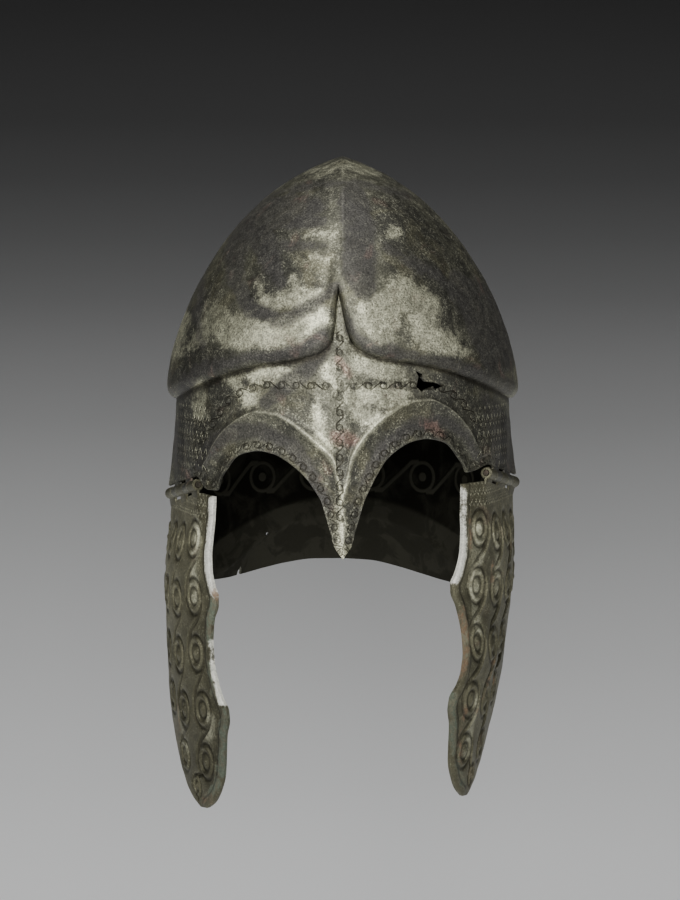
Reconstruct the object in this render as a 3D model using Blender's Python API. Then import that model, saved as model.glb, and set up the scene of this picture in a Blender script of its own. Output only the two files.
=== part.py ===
"""Chalcidian helmet: bronze bowl with stepped crown, nasal and neck guard, and two hinged cheekpieces.

The origin is the head seat, where the wearer's crown touches the inside of the bowl. The face looks along -Y
and the wearer's left is +X. Lengths are in metres, angles in degrees.
"""

import math

import bmesh
import bpy
import numpy as np
from mathutils import Matrix, Vector
from mathutils.geometry import delaunay_2d_cdt

MM = 0.001

# Bowl
BOWL_WIDTH = 189.0 * MM
FRONT_DEPTH = 109.4 * MM
BACK_DEPTH = 112.0 * MM
CROWN_HEIGHT = 119.5 * MM
WALL = 1.8 * MM
BELT_STEP = 5.2 * MM
BELT_ROLL = 6.5 * MM
PEAK_RISE = 54.0 * MM
PEAK_LEAN = 1.7
NASAL_DROP = 82.0 * MM
NASAL_FORWARD = 6.5 * MM
TEMPLE_FLARE = 4.6 * MM
NAPE_DROP = 77.5 * MM
NAPE_HOLLOW = 3.9 * MM
GUARD_DROP = 114.5 * MM
GUARD_FLARE = 17.0 * MM
SIDE_SINK = 6.2 * MM
KEEL_HEIGHT = 4.7 * MM
KEEL_HALF = 14.0 * MM
BROW_RIDGE = 2.0 * MM
BROW_RIDGE_HALF = 3.0 * MM
BROW_HOLLOW = 1.4 * MM
NASAL_RIDGE = 2.4 * MM
NASAL_RIDGE_HALF = 5.0 * MM
CROWN_PLAN_POWER = 1.8
CROWN_RISE_POWER = 1.58
CROWN_LONG_POWER = 2.1
CROWN_LONG_RISE = 1.9
TEMPLE_REACH = 0.65
TEMPLE_POWER = 1.5
NASAL_POWER = 1.3
LEAN_START = 0.4
HINGE_FOLD_SHARE = 0.6
CROWN_TURN_RATE = 1.3
BROW_FADE = 2.5
HOLLOW_START = 4.0
NOSE_START = 0.4
NOSE_TOP = 0.35
RIDGE_CROSSING = 0.6
KEEL_FADE = 0.25

# Hinges
HINGE_FRONT_TURN = 55.0
HINGE_BACK_TURN = 90.0
HINGE_FRONT_DROP = 41.7 * MM
HINGE_BACK_DROP = 51.3 * MM
KNUCKLE_RADIUS = 3.1 * MM
KNUCKLE_COUNT = 5
HINGE_WINDOW = 1.5 * MM
PIN_RADIUS = 1.45 * MM
CLEARANCE = 0.3 * MM
STRAP_THICKNESS = 1.5 * MM
STRAP_BITE = 2.4 * MM
PIN_OVERHANG = 0.4 * MM

# Cheekpieces
CHEEK_LENGTH = 171.0 * MM
CHEEK_WIDTH = 98.0 * MM
CHEEK_WALL = 1.8 * MM
CHEEK_FRONT_LEFT = 42.5
CHEEK_FRONT_RIGHT = 46.0
CHEEK_TWIST = 9.5 * MM
TWIST_START = 0.3
TWIST_SPAN = 0.35
TWIST_WIDTH = 0.7
CHEEK_BULGE = 4.0 * MM
CHEEK_CURL = 8.0 * MM
CURL_POWER = 2.6
CHORD_FADE = 0.3
PLAN_TURN = 60.0
RIM_WIDTH = 4.3 * MM
RIM_RISE = 1.0 * MM
RIM_FOOT = 1.2 * MM
CIRCLE_RADIUS = 10.0 * MM
CIRCLE_RISE = 1.2 * MM
SWING = 4.5

# Damage
BREAK_TURN = 30.1
BREAK_DROP = -8.0 * MM
BREAK_WIDTH = 16.5 * MM
TEAR_TURN = -143.0
TEAR_WIDTH = 3.4 * MM
TEAR_DEPTH = 4.0 * MM
PINHOLE_TURN = -152.5
PINHOLE_WIDTH = 1.9 * MM
SLIT_LENGTH = 5.0 * MM
SLIT_WIDTH = 1.3 * MM
SLIT_BACK = 0.245
SLIT_DOWN = 0.972
CUT_DEPTH = 10.8 * MM

# Edge, fold and belt of the bowl from the nasal tip round to the hinge. Turns are degrees from the front; drops
# are shares of NASAL_DROP below the belt level, rises are shares of PEAK_RISE above it, and roll_up is a share of
# BELT_ROLL. Sink is the share of SIDE_SINK by which the -X side hangs lower.
# edge_turn, edge_drop, fold_turn, fold_drop, belt_turn, belt_rise, roll_turn, roll_up, sink
FACE = [
    (0.0, 1.000, 0.0, 0.610, 0.00, 1.000, 0.0, 0.80, 0.00),
    (2.6, 0.925, 0.7, 0.573, 0.35, 0.963, 0.9, 0.80, 0.00),
    (3.8, 0.838, 1.2, 0.530, 0.70, 0.917, 1.6, 0.68, 0.00),
    (5.2, 0.744, 1.7, 0.485, 1.10, 0.833, 2.2, 0.50, 0.00),
    (6.8, 0.640, 2.3, 0.415, 1.60, 0.735, 2.6, 0.45, 0.00),
    (8.9, 0.554, 3.2, 0.360, 2.40, 0.630, 2.8, 0.52, 0.25),
    (11.3, 0.468, 5.0, 0.299, 3.50, 0.537, 2.8, 0.75, 0.55),
    (14.4, 0.383, 8.0, 0.222, 5.60, 0.454, 2.2, 0.92, 0.90),
    (18.8, 0.316, 12.4, 0.144, 9.20, 0.404, 1.0, 1.00, 1.00),
    (23.4, 0.276, 17.6, 0.076, 14.20, 0.361, 0.0, 1.00, 1.00),
    (28.5, 0.262, 23.5, 0.029, 20.40, 0.330, 0.0, 1.00, 1.00),
    (33.5, 0.277, 29.5, 0.022, 27.00, 0.300, 0.0, 1.00, 1.00),
    (37.7, 0.311, 35.8, 0.066, 34.00, 0.256, 0.0, 1.00, 1.00),
    (40.8, 0.377, 42.0, 0.145, 41.00, 0.204, 0.0, 1.00, 1.00),
    (43.4, 0.439, 47.2, 0.252, 47.50, 0.154, 0.0, 1.00, 1.10),
    (44.8, 0.488, 50.6, 0.360, 52.80, 0.107, 0.0, 1.00, 1.50),
    (49.5, 0.478, 53.0, 0.393, 57.00, 0.074, 0.0, 1.00, 1.65),
]

# Fold and belt above the hinge, one row for each fifth of the hinge line, on which the edge lies.
# hinge_share, fold_turn, fold_drop, belt_turn, belt_rise, sink
HINGE_SIDE = [
    (0.0, 57.5, 0.366, 61.0, 0.043, 1.0),
    (0.2, 63.8, 0.378, 66.3, 0.000, 1.0),
    (0.4, 70.3, 0.396, 71.5, -0.037, 1.0),
    (0.6, 77.0, 0.415, 77.0, -0.069, 1.0),
    (0.8, 83.7, 0.427, 82.5, -0.093, 1.0),
    (1.0, 90.5, 0.439, 88.5, -0.106, 1.0),
]

# Ear notch and neck guard to the middle of the back. Edge drops are shares of GUARD_DROP, fold drops shares of
# NAPE_DROP, flares shares of GUARD_FLARE.
# edge_turn, edge_drop, flare, fold_turn, fold_drop, belt_turn, sink
NAPE = [
    (94.5, 0.405, 0.00, 96.0, 0.458, 94.0, 1.00),
    (99.5, 0.407, 0.00, 101.5, 0.465, 99.5, 0.90),
    (104.5, 0.435, 0.00, 107.0, 0.490, 105.0, 0.70),
    (108.5, 0.510, 0.00, 112.5, 0.568, 110.0, 0.40),
    (111.2, 0.620, 0.00, 117.5, 0.697, 114.5, 0.20),
    (113.5, 0.742, 0.00, 122.0, 0.877, 119.0, 0.00),
    (116.0, 0.865, 0.00, 127.0, 1.084, 124.0, -0.20),
    (119.0, 0.965, 0.00, 131.0, 1.265, 129.0, -0.50),
    (126.0, 0.995, 0.06, 135.2, 1.350, 135.0, -0.60),
    (134.5, 1.000, 0.18, 139.8, 1.305, 142.0, -0.60),
    (144.0, 0.991, 0.42, 146.5, 1.205, 149.0, -0.60),
    (153.0, 0.970, 0.68, 154.5, 1.110, 157.0, -0.55),
    (162.0, 0.940, 0.88, 162.5, 1.048, 164.5, -0.40),
    (171.0, 0.912, 0.97, 171.2, 1.012, 172.0, -0.15),
    (180.0, 0.904, 1.00, 180.0, 1.000, 180.0, 0.00),
]

# Front edge of a cheekpiece from its top corner to the tip, and its rear edge back up to the hinge.
# back: share of CHEEK_WIDTH behind the front corner; down: share of CHEEK_LENGTH below the hinge's front end
CHEEK_FRONT = [
    (0.000, 0.030),
    (0.000, 0.110),
    (0.003, 0.170),
    (0.000, 0.222),
    (-0.012, 0.262),
    (-0.034, 0.302),
    (-0.058, 0.330),
    (-0.057, 0.360),
    (-0.028, 0.400),
    (-0.012, 0.440),
    (-0.006, 0.490),
    (-0.012, 0.540),
    (-0.034, 0.590),
    (-0.068, 0.638),
    (-0.108, 0.676),
    (-0.112, 0.712),
    (-0.086, 0.762),
    (-0.073, 0.822),
    (-0.056, 0.880),
    (-0.010, 0.934),
    (0.055, 0.974),
    (0.130, 0.997),
]
CHEEK_REAR = [
    (0.215, 1.000),
    (0.310, 0.976),
    (0.395, 0.938),
    (0.480, 0.885),
    (0.555, 0.830),
    (0.640, 0.760),
    (0.720, 0.690),
    (0.800, 0.618),
    (0.880, 0.535),
    (0.950, 0.440),
    (0.990, 0.345),
    (1.000, 0.250),
    (0.985, 0.170),
    (0.950, 0.112),
]

# Embossed circles of a cheekpiece: back, share of CHEEK_WIDTH; down, share of CHEEK_LENGTH; size, share of
# CIRCLE_RADIUS
CIRCLES = [
    (0.160, 0.165, 1.00),
    (0.380, 0.185, 1.00),
    (0.600, 0.190, 1.00),
    (0.825, 0.195, 1.00),
    (0.150, 0.340, 1.00),
    (0.375, 0.358, 1.00),
    (0.600, 0.358, 1.00),
    (0.825, 0.352, 1.00),
    (0.155, 0.515, 1.00),
    (0.380, 0.533, 1.00),
    (0.605, 0.528, 1.00),
    (0.110, 0.688, 1.00),
    (0.335, 0.702, 1.00),
    (0.555, 0.680, 0.95),
    (0.090, 0.850, 1.00),
    (0.360, 0.850, 0.92),
    (0.235, 0.935, 0.62),
]

# Outline of the break in the brow, as shares of BREAK_WIDTH from its middle: across, up
BREAK = [
    (-0.44, 0.33),
    (-0.24, 0.21),
    (-0.29, 0.12),
    (-0.15, -0.03),
    (0.22, -0.06),
    (0.38, -0.11),
    (0.53, -0.19),
    (0.27, -0.27),
    (0.23, -0.33),
    (0.14, -0.18),
    (-0.19, -0.29),
    (-0.30, -0.34),
    (-0.48, -0.18),
    (-0.42, 0.03),
    (-0.39, 0.14),
    (-0.47, 0.28),
]

# Outline of the tear in the neck guard's edge: across, share of TEAR_WIDTH; up, share of TEAR_DEPTH
TEAR = [
    (-0.500, -1.00),
    (0.500, -1.00),
    (0.450, 0.35),
    (0.075, 1.00),
    (-0.250, 0.75),
    (-0.500, 0.20),
]

# Outline of the slit near the cheekpiece's tip: across, share of SLIT_WIDTH; up, share of SLIT_LENGTH
SLIT = [
    (-0.5, -0.4),
    (0.3, -0.5),
    (0.5, 0.4),
    (-0.2, 0.5),
]

# Rings of an embossed circle: radius, share of the circle's own; rise, share of CIRCLE_RISE; corners
RING_PROFILE = [
    (0.36, 0.15, 6),
    (0.78, 1.00, 12),
    (1.00, 0.00, 12),
]

# Rows of the bowl's mesh: 0 edge, 1 fold, 2 belt, 3 top of the belt's roll, 4 crown
BOWL_ROWS = [0.0, 0.3, 0.6, 0.86, 1.0, 1.13, 1.4, 1.7, 2.0, 2.33, 2.67, 3.0]
CROWN_ROWS = 8
GUARD_ROW = 6
KNUCKLE_SIDES = 12
PIN_SIDES = 12
PINHOLE_SIDES = 8
PLAN_STEPS = 400
TOP_POINTS = 9
TOP_OVERRUN = 0.04
CHEEK_CELLS = 6
CELL_MARGIN = 0.3
RING_MARGIN = 0.8 * MM
NORMAL_STEP = 0.2 * MM
WELD = 0.02 * MM

BELT_LEVEL = WALL - CROWN_HEIGHT
STATIONS = len(FACE) + len(HINGE_SIDE) + len(NAPE)


def smooth_column(values, at):
    """Value at fractional row numbers of a table column, by monotone cubic interpolation."""
    values = np.asarray(values, dtype=float)
    step = np.diff(values)
    slope = np.zeros_like(values)
    product = step[:-1] * step[1:]
    total = step[:-1] + step[1:]
    keep = product > 0
    slope[1:-1][keep] = 2.0 * product[keep] / total[keep]
    slope[0] = step[0]
    slope[-1] = step[-1]
    row = np.clip(np.floor(at).astype(int), 0, len(values) - 2)
    f = at - row
    low = values[row]
    high = values[row + 1]
    return (
        low * (1 + 2 * f) * (1 - f) ** 2
        + slope[row] * f * (1 - f) ** 2
        + high * f * f * (3 - 2 * f)
        + slope[row + 1] * f * f * (f - 1)
    )


def ease(x):
    """Smooth step from 0 to 1."""
    x = np.clip(x, 0.0, 1.0)
    return x * x * (3.0 - 2.0 * x)


def crown_shares(level):
    """Shares of the half-width and half-depth of the crown at a level above the belt."""
    rise = np.clip((level - BELT_LEVEL) / CROWN_HEIGHT, 0.0, 1.0)
    across = (1.0 - rise**CROWN_RISE_POWER) ** (1.0 / CROWN_PLAN_POWER)
    along = (1.0 - rise**CROWN_LONG_RISE) ** (1.0 / CROWN_LONG_POWER)
    return across, along


def crown_point(turn, level):
    """Point of the crown's outer surface at a turn in degrees and a level."""
    across, along = crown_shares(level)
    angle = np.radians(turn)
    depth = np.where(np.cos(angle) > 0, FRONT_DEPTH, BACK_DEPTH)
    x = BOWL_WIDTH / 2 * across * np.sin(angle)
    y = -depth * along * np.cos(angle)
    return np.stack([x, y, level + 0 * x], axis=-1)


def wall_sizes(turn, level):
    """Half-width and half-depth of the wall below the crown's step."""
    across, along = crown_shares(level)
    down = np.clip(BELT_LEVEL - level, 0.0, None)
    half = BOWL_WIDTH / 2 * across - BELT_STEP
    half = half + TEMPLE_FLARE * np.clip(down / (TEMPLE_REACH * NASAL_DROP), 0, 1) ** TEMPLE_POWER
    front = FRONT_DEPTH * along - BELT_STEP
    front = front + NASAL_FORWARD * np.clip(down / NASAL_DROP, 0, 2) ** NASAL_POWER
    back = BACK_DEPTH * along - BELT_STEP - NAPE_HOLLOW * ease(down / NAPE_DROP)
    depth = np.where(np.cos(np.radians(turn)) > 0, front, back)
    return half, depth


def wall_point(turn, level, scale=1.0):
    """Point of the wall's outer surface, moved out from the middle by a factor."""
    half, depth = wall_sizes(turn, level)
    angle = np.radians(turn)
    x = half * scale * np.sin(angle)
    y = -depth * scale * np.cos(angle)
    return np.stack([x, y, level + 0 * x], axis=-1)


def to_wall(point):
    """Turn, level and scale of a point given in space."""
    side = 90.0 if point[0] >= 0 else -90.0
    turn = side
    for _ in range(2):
        half, depth = wall_sizes(turn, point[2])
        turn = math.degrees(math.atan2(point[0] / half, -point[1] / depth))
    return turn, point[2], math.hypot(point[0] / half, point[1] / depth)


def hinge_ends(side):
    """Front and back ends of the hinge axis on one side, in the middle of the wall's thickness."""
    sink = SIDE_SINK if side < 0 else 0.0
    ends = []
    for turn, drop in ((HINGE_FRONT_TURN, HINGE_FRONT_DROP), (HINGE_BACK_TURN, HINGE_BACK_DROP)):
        level = BELT_LEVEL - drop - sink
        outer = wall_point(side * turn, level)
        outward = np.array([math.sin(math.radians(side * turn)), -math.cos(math.radians(side * turn)), 0.0])
        ends.append(outer - outward * WALL / 2)
    return ends


def hinge_frame(side):
    """Front end, unit axis, upward direction, outward normal and length of a hinge."""
    front, back = hinge_ends(side)
    length = float(np.linalg.norm(back - front))
    axis = (back - front) / length
    up = np.array([0.0, 0.0, 1.0]) - axis[2] * axis
    up = up / np.linalg.norm(up)
    out = np.cross(axis, up)
    if out[0] * side < 0:
        out = -out
    return front, axis, up, out, length


def bowl_lines(side):
    """Edge, fold, belt and roll lines on one side, as columns of turn, level and scale."""
    front, axis, up, out, length = hinge_frame(side)
    edge, fold, belt, roll = [], [], [], []
    for row in FACE:
        sink = SIDE_SINK * row[8] if side < 0 else 0.0
        lean = PEAK_LEAN * max(row[5] - LEAN_START, 0.0) / (1.0 - LEAN_START)
        edge.append((side * row[0], BELT_LEVEL - NASAL_DROP * row[1] - sink, 1.0))
        fold.append((side * row[2], BELT_LEVEL - NASAL_DROP * row[3] - min(sink, SIDE_SINK), 1.0))
        rise = BELT_LEVEL + PEAK_RISE * row[5]
        belt.append((side * row[4] - lean, rise, 1.0))
        roll.append((side * (row[4] + row[6]) - lean, rise + BELT_ROLL * row[7], 1.0))
    for row in HINGE_SIDE:
        sink = SIDE_SINK * row[5] if side < 0 else 0.0
        point = front + axis * length * row[0] + up * (KNUCKLE_RADIUS + HINGE_WINDOW) + out * WALL / 2
        turn, level, scale = to_wall(point)
        edge.append((turn, level, scale))
        fold_scale = 1.0 - HINGE_FOLD_SHARE * (1.0 - scale)
        fold.append((side * row[1], BELT_LEVEL - NASAL_DROP * row[2] - sink, fold_scale))
        rise = BELT_LEVEL + PEAK_RISE * row[4]
        belt.append((side * row[3], rise, 1.0))
        roll.append((side * row[3], rise + BELT_ROLL, 1.0))
    for row in NAPE:
        sink = SIDE_SINK * row[6] if side < 0 else 0.0
        level = BELT_LEVEL - GUARD_DROP * row[1] - sink
        edge.append((side * row[0], level, 1.0 + GUARD_FLARE * row[2] / BACK_DEPTH))
        fold.append((side * row[3], BELT_LEVEL - NAPE_DROP * row[4] - max(sink, 0.0), 1.0))
        rise = BELT_LEVEL + PEAK_RISE * HINGE_SIDE[-1][4]
        belt.append((side * row[5], rise, 1.0))
        roll.append((side * row[5], rise + BELT_ROLL, 1.0))
    return edge, fold, belt, roll


def bowl_surface(side, station, row):
    """Points of the bowl's plain outer surface, with the length of the edge-to-fold and fold-to-belt spans."""
    lines = []
    for line in bowl_lines(side):
        table = np.array(line)
        lines.append([smooth_column(table[:, i], station) for i in range(3)])
    edge, fold, belt, roll = lines
    low = np.clip(row, 0, 1)
    mid = np.clip(row - 1, 0, 1)
    shape = [e + (f - e) * low + (b - f) * mid for e, f, b in zip(edge, fold, belt)]
    wall = wall_point(shape[0], shape[1], shape[2])
    arc = np.radians(np.clip(row - 2, 0, 1) * 90.0)
    turn = belt[0] + (roll[0] - belt[0]) * (1 - np.cos(arc))
    level = belt[1] + (roll[1] - belt[1]) * (1 - np.cos(arc))
    out = np.sin(arc)[..., None]
    rolled = wall_point(turn, level) * (1 - out) + crown_point(turn, level) * out
    climb = np.clip(row - 3, 0, 1)
    rise = np.clip((roll[1] - BELT_LEVEL) / CROWN_HEIGHT, 0, 1)
    start = np.arcsin(rise ** (CROWN_RISE_POWER / 2))
    angle = start + (math.pi / 2 - start) * climb
    height = BELT_LEVEL + CROWN_HEIGHT * np.sin(angle) ** (2 / CROWN_RISE_POWER)
    height = np.where(climb > 0, height, roll[1])
    even = side * 180.0 * station / (STATIONS - 1)
    turn = roll[0] + (even - roll[0]) * ease(climb * CROWN_TURN_RATE)
    crown = crown_point(turn, height)
    tall = row[..., None]
    points = np.where(tall <= 2, wall, np.where(tall <= 3, rolled, crown))
    lower = wall_point(*edge) - wall_point(*fold)
    upper = wall_point(*fold) - wall_point(*belt)
    return points, np.linalg.norm(lower, axis=-1), np.linalg.norm(upper, axis=-1)


def bowl_relief(station, row, points, lower, upper):
    """Height of the keel, brow ridge, brow hollow and nasal ridge above the plain surface."""
    x = points[..., 0]
    z = points[..., 2]
    away = np.where(row < 1, (1 - row) * lower, (row - 1) * upper)
    hinge = len(FACE) - 1
    brow = ease((hinge + BROW_FADE - 1 - station) / BROW_FADE) * (row < 2)
    lift = BROW_RIDGE * np.exp(-((away / BROW_RIDGE_HALF) ** 2)) * brow
    inside = np.clip(row, 0, 1)
    begun = ease(station / HOLLOW_START - 1)
    lift = lift - BROW_HOLLOW * np.sin(math.pi * inside) ** 2 * brow * begun
    nose = np.exp(-((x / NASAL_RIDGE_HALF) ** 2)) * (row < 2) * (station < STATIONS / 2)
    below = ease((BELT_LEVEL - z + PEAK_RISE * NOSE_START) / (PEAK_RISE * (2 - NOSE_START)))
    strength = NOSE_TOP + (1 - NOSE_TOP) * below
    crossing = 1 - RIDGE_CROSSING * np.exp(-((away / BROW_RIDGE_HALF) ** 2))
    lift = lift + NASAL_RIDGE * nose * strength * crossing
    keel = np.exp(-np.abs(x) / KEEL_HALF) * ease((row - 3) / KEEL_FADE)
    return lift + KEEL_HEIGHT * keel


def bowl_grid(stations, rows):
    """Outer points of the bowl, row by row right round, with the crown's single point last."""
    points = []
    relief = []
    for side, steps in ((1, stations), (-1, stations[-2:0:-1])):
        s, r = np.meshgrid(steps, rows)
        p, lower, upper = bowl_surface(side, s, r)
        points.append(p)
        relief.append(bowl_relief(s, r, p, lower, upper))
    points = np.concatenate(points, axis=1)
    relief = np.concatenate(relief, axis=1)
    return points, relief


def grid_faces(rows, columns, crown):
    """Triangles of a closed ring of columns with a fan at the crown."""
    faces = []
    for r in range(rows - 1):
        for c in range(columns):
            n = (c + 1) % columns
            a, b = r * columns + c, r * columns + n
            d, e = a + columns, b + columns
            faces.append((a, b, e))
            faces.append((a, e, d))
    for c in range(columns):
        faces.append(((rows - 1) * columns + c, (rows - 1) * columns + (c + 1) % columns, crown))
    return np.array(faces)


def vertex_normals(points, faces):
    """Area-weighted normals of a triangle mesh."""
    a, b, c = (points[faces[:, i]] for i in range(3))
    cross = np.cross(b - a, c - a)
    normals = np.zeros_like(points)
    for i in range(3):
        np.add.at(normals, faces[:, i], cross)
    return normals / np.linalg.norm(normals, axis=1)[:, None]


def bowl_shell():
    """Vertices and triangles of the closed bowl before its knuckles and damage."""
    stations = np.arange(STATIONS, dtype=float)
    rows = BOWL_ROWS + [3 + (i + 1) / CROWN_ROWS for i in range(CROWN_ROWS - 1)]
    points, relief = bowl_grid(stations, np.array(rows))
    count_rows, columns = relief.shape
    flat = np.concatenate([points.reshape(-1, 3), [[0.0, 0.0, BELT_LEVEL + CROWN_HEIGHT]]])
    lift = np.append(relief.ravel(), KEEL_HEIGHT)
    crown = len(flat) - 1
    faces = grid_faces(count_rows, columns, crown)
    outer = flat + vertex_normals(flat, faces) * lift[:, None]
    inner = outer - vertex_normals(outer, faces) * WALL
    total = len(outer)
    under = [(c + total, b + total, a + total) for a, b, c in faces]
    lip = []
    for c in range(columns):
        n = (c + 1) % columns
        lip.append((c, c + total, n + total))
        lip.append((c, n + total, n))
    return np.concatenate([outer, inner]), [tuple(f) for f in faces] + under + lip


def new_object(name, vertices, faces, material=None, origin=None):
    """Mesh object in the scene, its vertices measured from the origin given."""
    mesh = bpy.data.meshes.new(name)
    shift = np.zeros(3) if origin is None else np.asarray(origin)
    mesh.from_pydata([tuple(np.asarray(v) - shift) for v in vertices], [], [tuple(map(int, f)) for f in faces])
    mesh.validate()
    bm = bmesh.new()
    bm.from_mesh(mesh)
    bmesh.ops.recalc_face_normals(bm, faces=bm.faces)
    bm.to_mesh(mesh)
    bm.free()
    ob = bpy.data.objects.new(name, mesh)
    ob.location = Vector(shift)
    bpy.context.scene.collection.objects.link(ob)
    if material:
        mesh.materials.append(material)
    return ob


def combine(ob, tools, operation):
    """Join solids to an object, or cut them from it, and remove them."""
    for tool in tools:
        modifier = ob.modifiers.new("combine", "BOOLEAN")
        modifier.operation = operation
        modifier.solver = "EXACT"
        modifier.object = tool
        bpy.context.view_layer.update()
        graph = bpy.context.evaluated_depsgraph_get()
        result = bpy.data.meshes.new_from_object(ob.evaluated_get(graph))
        ob.modifiers.remove(modifier)
        old = ob.data
        ob.data = result
        bpy.data.meshes.remove(old)
        bpy.data.objects.remove(tool, do_unlink=True)


def clean(ob):
    """Weld, triangulate and name the mesh after its object."""
    bm = bmesh.new()
    bm.from_mesh(ob.data)
    bmesh.ops.remove_doubles(bm, verts=bm.verts, dist=WELD)
    bmesh.ops.dissolve_degenerate(bm, edges=bm.edges, dist=WELD / 2)
    bmesh.ops.triangulate(bm, faces=bm.faces)
    bmesh.ops.recalc_face_normals(bm, faces=bm.faces)
    bm.to_mesh(ob.data)
    bm.free()
    ob.data.name = ob.name


def knuckle(side, index, reach):
    """Bored barrel of one knuckle with a strap towards the plate; reach is positive up, negative down."""
    front, axis, up, out, length = hinge_frame(side)
    step = length / KNUCKLE_COUNT
    start = index * step + CLEARANCE / 2
    end = (index + 1) * step - CLEARANCE / 2
    way = up if reach > 0 else -up
    half = math.asin(STRAP_THICKNESS / 2 / KNUCKLE_RADIUS)
    angles = [half + (2 * math.pi - 2 * half) * i / (KNUCKLE_SIDES - 1) for i in range(KNUCKLE_SIDES)]
    bore = PIN_RADIUS + CLEARANCE
    vertices = []
    for along in (start, end):
        base = front + axis * along
        for radius in (KNUCKLE_RADIUS, bore):
            for a in angles:
                vertices.append(base + radius * (math.cos(a) * way + math.sin(a) * out))
        for s in (1, -1):
            vertices.append(base + abs(reach) * way + s * STRAP_THICKNESS / 2 * out)
    n = KNUCKLE_SIDES
    ring = 2 * n + 2
    faces = []
    for i in range(n):
        j = (i + 1) % n
        faces.append((i, j, n + j, n + i))
        faces.append((ring + i, ring + n + i, ring + n + j, ring + j))
        faces.append((n + i, n + j, ring + n + j, ring + n + i))
        if i < n - 1:
            faces.append((i, ring + i, ring + j, j))
    right, left = 0, n - 1
    top_right, top_left = 2 * n, 2 * n + 1
    faces.append((right, left, top_left, top_right))
    faces.append((ring + right, ring + top_right, ring + top_left, ring + left))
    faces.append((right, top_right, ring + top_right, ring + right))
    faces.append((left, ring + left, ring + top_left, top_left))
    faces.append((top_right, top_left, ring + top_left, ring + top_right))
    return vertices, faces


def prism(outline, centre, across, up, out, depth):
    """Solid over an outline of (across, up) lengths, running both ways along the outward direction."""
    vertices = []
    for way in (-1, 1):
        for a, u in outline:
            vertices.append(centre + across * a + up * u + out * depth * way)
    n = len(outline)
    faces = [tuple(range(n)), tuple(range(2 * n - 1, n - 1, -1))]
    for i in range(n):
        j = (i + 1) % n
        faces.append((i, n + i, n + j, j))
    return vertices, faces


def regular(sides, radius):
    """Outline of a regular polygon."""
    return [
        (radius * math.cos(2 * math.pi * i / sides), radius * math.sin(2 * math.pi * i / sides))
        for i in range(sides)
    ]


def damage_tools():
    """Solids that cut the break in the brow, the tear in the neck guard's edge and its pinhole."""
    up = np.array([0.0, 0.0, 1.0])
    tools = []
    centre = wall_point(BREAK_TURN, BELT_LEVEL - BREAK_DROP)
    out = np.array([math.sin(math.radians(BREAK_TURN)), -math.cos(math.radians(BREAK_TURN)), 0.0])
    across = np.cross(up, out)
    outline = [(a * BREAK_WIDTH, u * BREAK_WIDTH) for a, u in BREAK]
    tools.append(prism(outline, centre, across, up, out, CUT_DEPTH))
    edge, fold, belt, roll = (np.array(line) for line in bowl_lines(-1))
    for line, turn, kind in ((edge, TEAR_TURN, "tear"), (fold, PINHOLE_TURN, "hole")):
        back = line[len(FACE) + len(HINGE_SIDE) + GUARD_ROW :]
        order = np.argsort(back[:, 0])
        level = float(np.interp(turn, back[order, 0], back[order, 1]))
        scale = float(np.interp(turn, back[order, 0], back[order, 2]))
        centre = wall_point(turn, level, scale)
        out = np.array([math.sin(math.radians(turn)), -math.cos(math.radians(turn)), 0.0])
        across = np.cross(up, out)
        if kind == "tear":
            outline = [(a * TEAR_WIDTH, u * TEAR_DEPTH) for a, u in TEAR]
            tools.append(prism(outline, centre, across, up, out, CUT_DEPTH))
        else:
            tools.append(prism(regular(PINHOLE_SIDES, PINHOLE_WIDTH / 2), centre, across, up, out, CUT_DEPTH))
    return tools


def build_bowl(material):
    """Bowl with its knuckles joined and its damage cut."""
    vertices, faces = bowl_shell()
    bowl = new_object("bowl", vertices, faces, material)
    reach = KNUCKLE_RADIUS + HINGE_WINDOW + STRAP_BITE
    joined = [new_object("tool", *knuckle(side, index, reach)) for side in (1, -1) for index in (1, 3)]
    combine(bowl, joined, "UNION")
    combine(bowl, [new_object("tool", *tool) for tool in damage_tools()], "DIFFERENCE")
    clean(bowl)
    return bowl


def plan_table(side):
    """Turns and lengths of arc along the cheekpiece's plan curve, from its front corner."""
    corner = CHEEK_FRONT_LEFT if side > 0 else CHEEK_FRONT_RIGHT
    half, depth = wall_sizes(PLAN_TURN, BELT_LEVEL - HINGE_FRONT_DROP)
    turns = np.linspace(corner / 2, corner + 90.0, PLAN_STEPS)
    angle = np.radians(turns)
    x = half * np.sin(angle)
    y = -depth * np.cos(angle)
    arc = np.concatenate([[0.0], np.cumsum(np.hypot(np.diff(x), np.diff(y)))])
    arc = arc - np.interp(corner, turns, arc)
    return turns, arc, half, depth


def chord_scale(turn, half, depth):
    """Factor that brings the plan curve onto the straight line of the hinge."""
    ends = np.radians([HINGE_FRONT_TURN, HINGE_BACK_TURN])
    ax, ay = half * np.sin(ends[0]), -depth * np.cos(ends[0])
    bx, by = half * np.sin(ends[1]), -depth * np.cos(ends[1])
    angle = np.radians(turn)
    x, y = half * np.sin(angle), -depth * np.cos(angle)
    cross = (bx - ax) * y - (by - ay) * x
    factor = (ay * (bx - ax) - ax * (by - ay)) / np.where(np.abs(cross) < 1e-9, 1e-9, cross)
    inside = (turn > HINGE_FRONT_TURN) & (turn < HINGE_BACK_TURN)
    return np.where(inside, factor, 1.0)


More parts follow.
